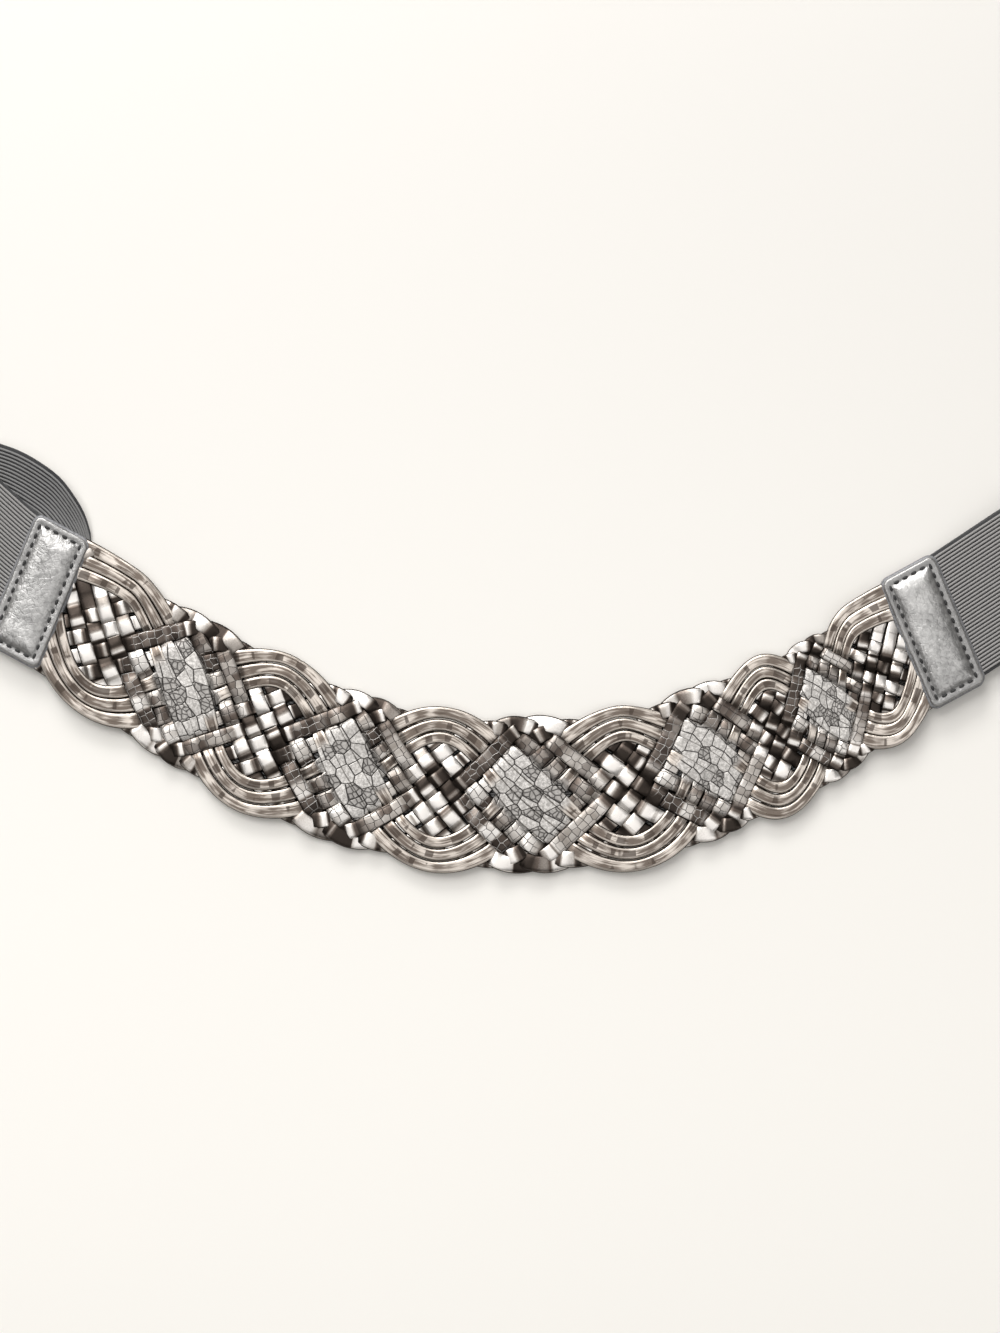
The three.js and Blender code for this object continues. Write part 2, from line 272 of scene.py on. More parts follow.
@dataclass(frozen=True)
class StripFinish:
    """Metallic leather of the plaited strips, smooth in the arcs and with a reptile grain in the middle.

    Tiles are in millimetres on the bands and in lattice lines on the patches. A share is the weight of one
    effect in a sum. Light and shade on the cells and arcs are painted into the colour.
    """

    name: str = "silver_strip_leather"
    arc_colour: Colour = (0.185, 0.15, 0.124)
    arc_highlight: Colour = (0.7, 0.63, 0.56)
    arc_dark: Colour = (0.075, 0.057, 0.046)
    cell_light: Colour = (0.87, 0.825, 0.78)
    cell_middle: Colour = (0.4, 0.362, 0.325)
    cell_brown: Colour = (0.12, 0.095, 0.08)
    cell_dark: Colour = (0.035, 0.027, 0.022)
    patch_light: Colour = (0.74, 0.71, 0.675)
    patch_grey: Colour = (0.3, 0.283, 0.265)
    seam_dark: Colour = (0.05, 0.045, 0.042)
    seam_light: Colour = (0.42, 0.4, 0.38)
    patch_tile: float = 0.8
    patch_uneven: float = 0.62
    curl_tile: float = 0.3
    curl_uneven: float = 1.0
    curl_seam: float = 0.2
    band_tile: float = 2.7
    band_uneven: float = 0.45
    seam: float = 0.06
    tone_share: float = 0.87
    glance_share: float = 0.3
    grain_share: float = 0.12
    under_shade_share: float = 0.3
    metallic: float = 0.9
    relief: float = 0.00013

    @staticmethod
    def tiles(
        g: MaterialGraph, where: Signal, size: float, uneven: float, seam: float
    ) -> tuple[Signal, Signal]:
        """Tiles of the grain.

        Args:
            g: the material's graph.
            where: flat coordinates.
            size: size of a tile.
            uneven: 0 for squares to 1 for irregular tiles.
            seam: width of the seams.

        Returns:
            A mask that is 0 in the seams and 1 on the tiles, and a number of each tile's own.
        """
        values = {"Vector": where, "Scale": 1.0 / size, "Randomness": uneven}
        edge = {"feature": "DISTANCE_TO_EDGE", "voronoi_dimensions": "2D"}
        gap = g.node("ShaderNodeTexVoronoi", edge, values)
        colour = g.node("ShaderNodeTexVoronoi", {"voronoi_dimensions": "2D"}, values, "Color")
        return gap.stretch(seam * 0.2, seam), g.node("ShaderNodeSeparateColor", {}, {0: colour}, "Red")

    def cells(self, g: MaterialGraph, at: dict[str, Signal], grain: Signal) -> Signal:
        """Colour of the plaited cells, with painted light: each cell's tone and glance paint its reflection
        of the room, and painted shade darkens it towards its ends, where it dives under its neighbours.

        Args:
            g: the material's graph.
            at: the strip's attributes.
            grain: fine noise.

        Returns:
            The colour.
        """
        # Painted shade towards the cell's ends, where the strip dives under its neighbours
        under_shade = at["bend"].stretch(0.5, 0.95) * (1.0 - at["tiled"])
        mood = at["tone"] * self.tone_share + at["glance"] * self.glance_share
        mood = mood + grain * self.grain_share - under_shade * self.under_shade_share
        dark = [(0.26, self.cell_dark), (0.38, self.cell_brown)]
        return g.ramp(mood, [*dark, (0.5, self.cell_middle), (0.6, self.cell_light)])

    def bands(self, g: MaterialGraph, at: dict[str, Signal], tint: Signal) -> Signal:
        """Colour of the tiled bands around a patch: each tile's own tone, lit by the crossing's painted
        reflection tone.

        Args:
            g: the material's graph.
            at: the strip's attributes.
            tint: each tile's number.

        Returns:
            The colour.
        """
        dark = [(0.2, self.cell_dark), (0.45, self.cell_brown)]
        light = [(0.62, self.cell_middle), (0.95, self.patch_light)]
        return g.ramp(at["tone"] * 0.8 + tint * 0.28, dark + light)

    def patches(self, g: MaterialGraph, sheet: Signal, strip: Signal, tint: Signal) -> Signal:
        """Colour of the flat patches: grey and light tiles, some of them worn and curled.

        Args:
            g: the material's graph.
            sheet: coordinates that run on from strip to strip.
            strip: the strip's own coordinates.
            tint: each tile's number.

        Returns:
            The colour.
        """
        curl, _ = self.tiles(g, sheet, self.curl_tile, self.curl_uneven, self.curl_seam)
        flat = g.mix(tint.stretch(0.1, 0.7) * 0.7 + 0.3, self.patch_grey, self.patch_light)
        crackle = g.noise(strip, 0.9, 7.0, 0.75)
        flat = g.mix(crackle.stretch(0.42, 0.6), g.mix(0.75, flat, self.patch_grey), flat)
        worn = (1.0 - tint.stretch(0.34, 0.42)) * (1.0 - curl)
        return g.mix(worn * 0.85, flat, self.seam_dark)

    def arcs(self, g: MaterialGraph, at: dict[str, Signal]) -> Signal:
        """Colour of the arcs: satin, with painted highlights and painted shade in long streaks, painted
        highlights on the edges, and a dark patch here and there.

        Args:
            g: the material's graph.
            at: the strip's attributes.

        Returns:
            The colour.
        """
        streak = g.noise(g.uv(0.09, 1.1), 1.0, 3.0, 0.6)
        shine = streak * 0.65 + g.noise(g.uv(0.13, 0.05), 1.0, 1.0, 0.5) * 0.5
        middle = [(0.48, self.arc_colour), (0.55, self.arc_colour)]
        warm = g.ramp(shine, [(0.38, self.arc_dark), *middle, (0.66, self.arc_highlight)])
        often = g.noise(g.uv(0.2, 0.04), 1.0, 1.0, 0.5) + at["inner"] * 0.09
        blot = often.stretch(0.61, 0.635) * (1.0 - at["rim"].stretch(0.5, 0.58))
        warm = g.mix(blot * 0.8, warm, self.arc_dark)
        # Painted highlight along the arcs' edges
        return g.mix(at["rim"].stretch(0.56, 0.64) * 0.75, warm, self.arc_highlight)

    def make(self) -> Material:
        """Builds the material.

        Returns:
            The material.
        """
        g = MaterialGraph(self.name)
        keys = ("arc", "patch", "tiled", "inner", "tone", "bend", "glance", "rim", "fall", "rise")
        at = {key: g.attribute(key) for key in keys}
        patch, tiled = at["patch"], at["tiled"]
        strip = g.uv()
        # The flat patches share one sheet's grain, so it runs on from strip to strip
        sheet = g.node("ShaderNodeCombineXYZ", {}, {0: at["fall"], 1: at["rise"]})
        patch_gap, patch_tint = self.tiles(g, sheet, self.patch_tile, self.patch_uneven, self.seam)
        band_gap, band_tint = self.tiles(g, strip, self.band_tile, self.band_uneven, self.seam)
        gap = band_gap + (patch_gap - band_gap) * patch
        grain = g.noise(strip, 1.6, 6.0, 0.7)
        wrinkle = g.noise(g.uv(1.6, 0.25), 1.2, 4.0, 0.6)
        silver = g.mix(tiled * 0.85, self.cells(g, at, grain), self.bands(g, at, band_tint))
        silver = g.mix(patch * tiled, silver, self.patches(g, sheet, strip, patch_tint))
        seam_tone = at["tone"].stretch(0.3, 0.4) * (1.0 - patch) + patch
        silver = g.mix((1.0 - gap) * tiled, silver, g.mix(seam_tone, self.seam_light, self.seam_dark))
        colour = g.mix(at["arc"], silver, self.arcs(g, at))
        # Painted shade on the strips' turned-down edges, where the gaps between strips lie in shade
        colour = g.mix(at["rim"].stretch(0.86, 0.9) * (1.0 - patch), colour, self.cell_dark)
        rough = wrinkle.stretch(0.3, 0.7, 0.27, 0.4) + patch * tiled * 0.1
        relief = wrinkle * 0.3 + gap * tiled * 0.9 + grain * tiled * 0.25
        return g.surface(colour, rough, self.metallic, g.bump(relief, self.relief, 0.7))


@dataclass(frozen=True)
class FoilFinish:
    """Crinkled silver foil leather of the tabs, with painted light and shade on its crinkles and painted
    shade in its creases.
    """

    name: str = "foil_leather"
    light: Colour = (0.6, 0.588, 0.572)
    shade: Colour = (0.22, 0.215, 0.21)
    edge: Colour = (0.27, 0.264, 0.258)
    relief: float = 0.00036

    def make(self) -> Material:
        """Builds the material.

        Returns:
            The material.
        """
        g = MaterialGraph(self.name)
        place = g.place()
        fine = g.noise(place, 600.0, 5.0, 0.65)
        broad = g.noise(place, 140.0, 3.0, 0.55)
        wide = g.noise(place, 60.0, 2.0, 0.5)
        cracks = {"Vector": place, "Scale": 480.0, "Randomness": 1.0}
        crease = g.node("ShaderNodeTexVoronoi", {"feature": "DISTANCE_TO_EDGE"}, cracks).stretch(0.0, 0.1)
        # Painted shade in the creases, and painted light and shade mottling the crinkles
        shade = g.mix(crease * 0.2, self.shade, self.light)
        lit = fine.stretch(0.36, 0.62) * 0.45 + broad.stretch(0.4, 0.58) * 0.2
        lit = lit + wide.stretch(0.42, 0.58) * 0.35
        colour = g.mix(g.attribute("rim"), g.mix(lit, shade, self.light), self.edge)
        relief = fine * 0.55 + broad * 1.6 + crease * 0.1
        return g.surface(colour, broad.stretch(0.3, 0.7, 0.28, 0.42), 0.85, g.bump(relief, self.relief, 0.8))


@dataclass(frozen=True)
class BackingFinish:
    """Plain grey leather at the tabs' sides and backs."""

    name: str = "backing_leather"
    light: Colour = (0.3, 0.3, 0.31)
    shade: Colour = (0.16, 0.16, 0.165)
    relief: float = 0.0002

    def make(self) -> Material:
        """Builds the material.

        Returns:
            The material.
        """
        g = MaterialGraph(self.name)
        grain = g.noise(g.place(), 1500.0, 4.0, 0.6)
        colour = g.mix(grain.stretch(0.35, 0.65), self.shade, self.light)
        return g.surface(colour, grain.stretch(0.3, 0.7, 0.4, 0.6), 0.35, g.bump(grain, self.relief, 0.6))


@dataclass(frozen=True)
class WebbingFinish:
    """Grey knitted yarn of the elastic, with a loop every few tenths of a millimetre."""

    name: str = "ribbed_elastic"
    light: Colour = (0.43, 0.414, 0.4)
    shade: Colour = (0.18, 0.173, 0.167)
    knit: float = 0.55
    relief: float = 0.00015

    def make(self) -> Material:
        """Builds the material.

        Returns:
            The material.
        """
        g = MaterialGraph(self.name)
        loops = g.uv()
        along = g.node("ShaderNodeSeparateXYZ", {}, {0: loops}, "X")
        wave = g.node("ShaderNodeMath", {"operation": "SINE"}, {0: along * (2.0 * math.pi / self.knit)})
        fuzz = g.noise(loops, 3.0, 4.0, 0.7)
        broad = g.noise(loops, 0.12, 2.0, 0.5)
        mixed = fuzz.stretch(0.3, 0.7) * 0.5 + broad.stretch(0.3, 0.7) * 0.25 + (wave * 0.5 + 0.5) * 0.25
        normal = g.bump(wave * 0.25 + fuzz * 0.75, self.relief, 0.7)
        colour = g.mix(mixed, self.shade, self.light)
        return g.surface(colour, 0.82, 0.0, normal, Sheen_Weight=0.25, Sheen_Roughness=0.5)


@dataclass(frozen=True)
class ThreadFinish:
    """Dark stitching thread."""

    name: str = "dark_thread"
    light: Colour = (0.035, 0.034, 0.033)
    shade: Colour = (0.008, 0.008, 0.009)
    relief: float = 0.0001

    def make(self) -> Material:
        """Builds the material.

        Returns:
            The material.
        """
        g = MaterialGraph(self.name)
        twist = g.noise(g.place(), 4000.0, 2.0, 0.5)
        return g.surface(g.mix(twist, self.shade, self.light), 0.6, 0.0, g.bump(twist, self.relief, 0.5))


@dataclass(frozen=True)
class TableFinish:
    """Pale cream table top, painted darker towards the lamps as painted shade that evens out their stronger
    light there.
    """

    name: str = "pale_table"
    light: Colour = (0.96, 0.93, 0.875)
    painted_lamp_shade: Colour = (0.765, 0.74, 0.7)
    reach: Range = (-0.24, 0.22)

    def make(self) -> Material:
        """Builds the material.

        Returns:
            The material.
        """
        g = MaterialGraph(self.name)
        place = g.place()
        cloud = g.noise(place, 3.0, 2.0, 0.5).stretch(0.3, 0.7)
        towards = g.node("ShaderNodeSeparateXYZ", {}, {0: place}, "Y").stretch(*self.reach)
        return g.surface(g.mix(towards * 0.97 + cloud * 0.03, self.light, self.painted_lamp_shade), 0.9, 0.0, None)


# Mesh helpers


def linked(name: str, data: bpy.types.ID) -> Piece:
    """Puts data into the scene as an object at the origin.

    Args:
        name: the object's name.
        data: its mesh, light or camera.

    Returns:
        The new object.
    """
    made = bpy.data.objects.new(name, data)
    bpy.context.collection.objects.link(made)
    return made


def mesh_object(
    name: str,
    points: Array,
    faces: list[tuple[int, ...]],
    material: Material,
    uv: Array | None = None,
    values: dict[str, Array] | None = None,
    smooth: bool = True,
) -> Piece:
    """Makes a mesh piece at the origin.

    Args:
        name: the piece's name.
        points: corners in metres, one row each.
        faces: corner numbers of each face.
        material: its finish.
        uv: a UV pair for each corner point.
        values: numbers for each corner point, by attribute name.
        smooth: whether faces are shaded smooth.

    Returns:
        The new object.
    """
    mesh = bpy.data.meshes.new(name)
    mesh.from_pydata(points.tolist(), [], faces)
    mesh.materials.append(material)
    if uv is not None:
        layer = mesh.uv_layers.new(name="UVMap")
        corners = np.zeros(len(mesh.loops), dtype=np.int32)
        mesh.loops.foreach_get("vertex_index", corners)
        layer.data.foreach_set("uv", uv[corners].astype(np.float32).ravel())
    for key, numbers in (values or {}).items():
        attribute = mesh.attributes.new(key, "FLOAT", "POINT")
        attribute.data.foreach_set("value", numbers.astype(np.float32))
    mesh.polygons.foreach_set("use_smooth", [smooth] * len(mesh.polygons))
    mesh.update()
    return linked(name, mesh)


def tube_faces(rows: int, around: int) -> list[tuple[int, ...]]:
    """Faces of a solid through rows of points, closed at both ends.

    Args:
        rows: number of sections.
        around: points in each section.

    Returns:
        Faces whose winding is outward for sections that turn anticlockwise seen from ahead.
    """
    faces: list[tuple[int, ...]] = []
    last = (rows - 1) * around
    for here in range(0, last, around):
        for k in range(around):
            after = (k + 1) % around
            faces.append((here + k, here + around + k, here + around + after, here + after))
    return [*faces, tuple(range(around)), tuple(last + k for k in reversed(range(around)))]


def outward(piece: Piece) -> Piece:
    """Turns a closed piece's faces outwards.

    Args:
        piece: the piece.

    Returns:
        The piece.
    """
    mesh = piece.data
    mesh.calc_loop_triangles()
    corner = np.zeros(len(mesh.vertices) * 3)
    mesh.vertices.foreach_get("co", corner)
    corner = corner.reshape(-1, 3)
    index = np.zeros(len(mesh.loop_triangles) * 3, dtype=np.int32)
    mesh.loop_triangles.foreach_get("vertices", index)
    a, b, c = (corner[index[i::3]] for i in range(3))
    if float(np.einsum("ij,ij->i", a, np.cross(b, c)).sum()) < 0:
        mesh.flip_normals()
    return piece


def unit(vectors: Array) -> Array:
    """The same directions with a length of one."""
    return vectors / np.linalg.norm(vectors, axis=-1)[..., None]


def lengths(line: Array) -> Array:
    """Distance of each point of a line from its start, along the line."""
    return np.concatenate([[0.0], np.cumsum(np.linalg.norm(np.diff(line, axis=0), axis=1))])


def smoothstep(value: Array | float, low: float, high: float) -> Array:
    """Smooth step from 0 at low to 1 at high."""
    t = np.clip((np.asarray(value, dtype=float) - low) / (high - low), 0.0, 1.0)
    return t * t * (3.0 - 2.0 * t)


def flowing(at: Array, places: tuple[float, ...] | Array, levels: tuple[float, ...] | Array) -> Array:
    """Smooth curve through values at given places.

    Args:
        at: where the curve is read.
        places: rising places.
        levels: the curve's value at each place.

    Returns:
        The curve's values.
    """
    places, values = np.asarray(places), np.asarray(levels)
    k = np.clip(np.searchsorted(places, at, side="right") - 1, 0, len(places) - 2)
    slope = np.gradient(values, places)
    width = places[k + 1] - places[k]
    t = np.clip((at - places[k]) / width, 0.0, 1.0)
    first = (1.0 + 2.0 * t) * (1.0 - t) ** 2 * values[k] + t * (1.0 - t) ** 2 * width * slope[k]
    second = t**2 * (3.0 - 2.0 * t) * values[k + 1] + t**2 * (t - 1.0) * width * slope[k + 1]
    return first + second


def between(points: list[Array], share: Array | float) -> tuple[Array, Array]:
    """Smooth curve between the middle two of four points.

    Args:
        points: four points in a row.
        share: the place, 0 at the second point and 1 at the third.

    Returns:
        The curve's point, and its derivative by the share.
    """
    p0, p1, p2, p3 = points
    m1, m2 = (p2 - p0) / 2.0, (p3 - p1) / 2.0
    a = 2 * p1 - 2 * p2 + m1 + m2
    b = -3 * p1 + 3 * p2 - 2 * m1 - m2
    return a * share**3 + b * share**2 + m1 * share + p1, 3 * a * share**2 + 2 * b * share + m1


def dressed(piece: Piece, slot: str, *nodes: str) -> Piece:
    """Fixes a piece to the belt, and hides the solids it stands for.

    Args:
        piece: the piece.
        slot: the record's material slot; not used.
        *nodes: the CAD nodes that it replaces.

    Returns:
        The piece.
    """
    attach(piece, "root")
    if nodes:
        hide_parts(*nodes)
    LOG.info("%s: %d faces", piece.name, len(piece.data.polygons))
    return piece


# Things that node trees grow along lines


@dataclass
class Growth:
    """Something that a node tree grows along lines."""

    finish: Material

    def sizes(self) -> dict[str, float]:
        """The tree's number inputs, in metres."""
        raise NotImplementedError

    def shape(self, g: Graph, source: Signal) -> Signal:
        """What the tree makes of the lines, before its instances are realized."""
        raise NotImplementedError

    def tree(self) -> bpy.types.NodeTree:
        """Builds the node tree.

        Returns:
            The tree.
        """
        tree = bpy.data.node_groups.new(type(self).__name__.lower(), "GeometryNodeTree")
        sockets = [("Geometry", "INPUT", "NodeSocketGeometry")]
        sockets += [(size, "INPUT", "NodeSocketFloat") for size in self.sizes()]
        for name, way, kind in [*sockets, ("Geometry", "OUTPUT", "NodeSocketGeometry")]:
            tree.interface.new_socket(name, in_out=way, socket_type=kind)
        g = Graph(tree)
        real = g.node("GeometryNodeRealizeInstances", {}, {0: self.shape(g, g.node("NodeGroupInput"))})
        painted = g.node("GeometryNodeSetMaterial", {}, {"Geometry": real, "Material": self.finish})
        g.node("NodeGroupOutput", {}, {0: painted})
        return tree

    def along(self, name: str, points: Array, edges: list[tuple[int, int]]) -> Piece:
        """Runs the tree on lines and keeps the result as a plain mesh.

        Args:
            name: the new piece's name.
            points: the lines' points in millimetres.
            edges: numbers of the points that are joined.

        Returns:
            The piece.
        """
        mesh = bpy.data.meshes.new(f"{name}_lines")
        mesh.from_pydata((points * MM).tolist(), edges, [])
        lines = linked(f"{name}_lines", mesh)
        modifier = lines.modifiers.new("grow", "NODES")
        modifier.node_group = self.tree()
        sizes = self.sizes()
        for item in modifier.node_group.interface.items_tree:
            if item.name in sizes:
                modifier[item.identifier] = sizes[item.name]
        graph = bpy.context.evaluated_depsgraph_get()
        grown = bpy.data.meshes.new_from_object(lines.evaluated_get(graph))
        grown.name = name
        bpy.data.objects.remove(lines)
        return linked(name, grown)


@dataclass
class Stitches(Growth):
    """Stitches laid end to end along a seam, in millimetres."""

    pitch: float
    length: float
    width: float

    def sizes(self) -> dict[str, float]:
        """The tree's number inputs, in metres."""
        return {"Pitch": self.pitch * MM, "Length": self.length * MM, "Width": self.width * MM}

    def shape(self, g: Graph, source: Signal) -> Signal:
        """Lays a bead on each point of the seam.

        Args:
            g: the tree's graph.
            source: the seam.

        Returns:
            The beads.
        """
        curve = g.node("GeometryNodeMeshToCurve", {}, {0: source})
        every = {"Curve": curve, "Length": source.beside("Pitch")}
        spaced = g.node("GeometryNodeCurveToPoints", {"mode": "LENGTH"}, every, "Points")
        bead = g.node("GeometryNodeMeshIcoSphere", {}, {"Radius": 0.5, "Subdivisions": 2}, "Mesh")
        tangent = {"Vector": spaced.beside("Tangent")}
        turn = g.node("FunctionNodeAlignRotationToVector", {"axis": "X"}, tangent, "Rotation")
        width = source.beside("Width")
        size = g.node("ShaderNodeCombineXYZ", {}, {"X": source.beside("Length"), "Y": width, "Z": width})
        values = {"Points": spaced, "Instance": bead, "Rotation": turn, "Scale": size}
        return g.node("GeometryNodeInstanceOnPoints", {}, values)


@dataclass
class Ribs(Growth):
    """Round ribs along lines, in millimetres."""

    radius: float
    sides: int = 6

    def sizes(self) -> dict[str, float]:
        """The tree's number inputs, in metres."""
        return {"Radius": self.radius * MM}

    def shape(self, g: Graph, source: Signal) -> Signal:
        """Sweeps a circle along each line.

        Args:
            g: the tree's graph.
            source: the lines.

        Returns:
            The ribs.
        """
        curve = g.node("GeometryNodeMeshToCurve", {}, {0: source})
        round_section = {"Resolution": self.sides, "Radius": source.beside("Radius")}
        ring = g.node("GeometryNodeCurvePrimitiveCircle", {}, round_section, "Curve")
        swept = {"Curve": curve, "Profile Curve": ring, "Fill Caps": True}
        tube = g.node("GeometryNodeCurveToMesh", {}, swept)
        return g.node("GeometryNodeSetShadeSmooth", {}, {0: tube})


# The panel's curve


@dataclass
class Midline:
    """The curve that the panel follows, in millimetres, with a knot every half repeat."""

    shift: Range
    knots: tuple[Range, ...] = (
        (-164.5, 26.6),
        (-139.3, 7.7),
        (-110.0, -9.8),
        (-83.9, -24.5),
        (-53.6, -37.0),
        (-22.5, -43.0),
        (10.7, -45.2),
        (48.2, -41.6),
        (77.9, -29.8),
        (101.8, -19.8),
        (120.0, -9.8),
        (135.7, 0.2),
        (153.9, 12.3),
    )

    @classmethod
    def fitted(cls) -> Midline:
        """The curve, shifted so that its first knot is the middle of the left tab.

        Returns:
            The curve in the part's frame.
        """
        low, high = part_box("tab_left_face")
        middle = [(low[i] + high[i]) / 2.0 / MM for i in range(2)]
        return cls(shift=(middle[0] - cls.knots[0][0], middle[1] - cls.knots[0][1]))

    @property
    def repeats(self) -> float:
        """Number of repeats of the pattern."""
        return (len(self.knots) - 1) / 2.0

    def curve(self, u: Array) -> tuple[Array, Array]:
        """Points and directions of the midline.

        Args:
            u: places in repeats.

        Returns:
            Points and derivatives by u, one row each.
        """
        k = np.array(self.knots)
        padded = np.vstack([2 * k[0] - k[1], k, 2 * k[-1] - k[-2]])
        t = np.clip(np.asarray(u, dtype=float), 0.0, self.repeats) * 2.0
        i = np.clip(np.floor(t).astype(int), 0, len(k) - 2)
        point, slope = between([padded[i + n] for n in range(4)], (t - i)[:, None])
        return point, 2.0 * slope

    def place(self, u: Array, v: Array, z: Array | float) -> Array:
        """Points of the panel.

        Args:
            u: places along, in repeats.
            v: distances across, in millimetres.
            z: heights, in millimetres.

        Returns:
            Points in millimetres in the part's frame.
        """
        point, along = self.curve(u)
        along = unit(along)
        out = np.zeros((len(u), 3))
        out[:, 0] = point[:, 0] - v * along[:, 1] + self.shift[0]
        out[:, 1] = point[:, 1] + v * along[:, 0] + self.shift[1]
        out[:, 2] = z
        return out


# The plaited panel


class Kind(Enum):
    """What a strip does in the plait, by the material slot of its leather."""

    RING = "champagne_leather"
    SILVER = "silver_leather"


@dataclass
class Strip:
    """One strip of the plait.

    The side is 1 where it lies above the midline in the first lobe, and -1 where it lies below. A ring
    strip has its ranks in the lobes above and below, and a silver strip its place along and the
    rounding of its turns.
    """

    name: str
    kind: Kind
    side: int
    above: int = 0
    below: int = 0
    along: float = 0.0
    rounding: float = 0.2


@dataclass
class Crossing:
    """A place where a strip passes over or under another.

    The level is 1 or -1, the tone 0 to 1 is a painted reflection, and the glance -1 to 1 says which half
    catches the light as a painted highlight.
    """

    at: float
    level: float
    tone: float
    glance: float


@dataclass(frozen=True)
class Tones:
    """Ranges of painted reflection tone, from 0, dark, to 1, light, by where a crossing lies."""

    upper_left_band: Range = (0.16, 0.46)
    frame_left: Range = (0.12, 0.42)
    frame_right: Range = (0.44, 0.68)
    frame_ahead: Range = (0.38, 0.7)
    ladder_dark: Range = (0.12, 0.34)
    ladder_light: Range = (0.7, 0.95)
    edge: Range = (0.46, 0.66)
    cell_dark: Range = (0.26, 0.44)
    cell_middle: Range = (0.42, 0.62)
    cell_light: Range = (0.66, 0.95)
    beyond: Range = (0.45, 0.9)
    up_to_dark: float = 0.2
    up_to_light: float = 0.75
    beside_tab: float = 0.5


@dataclass(frozen=True)
class Zoned:
    """A size that differs between the plait, the arcs and the flat patches."""

    plain: float
    arc: float
    patch: float

    def along(self, zones: dict[str, Array]) -> Array:
        """The size at each place of a strip."""
        arc, patch = self.arc - self.plain, self.patch - self.plain
        return self.plain + arc * zones["arc"] + patch * zones["patch"]


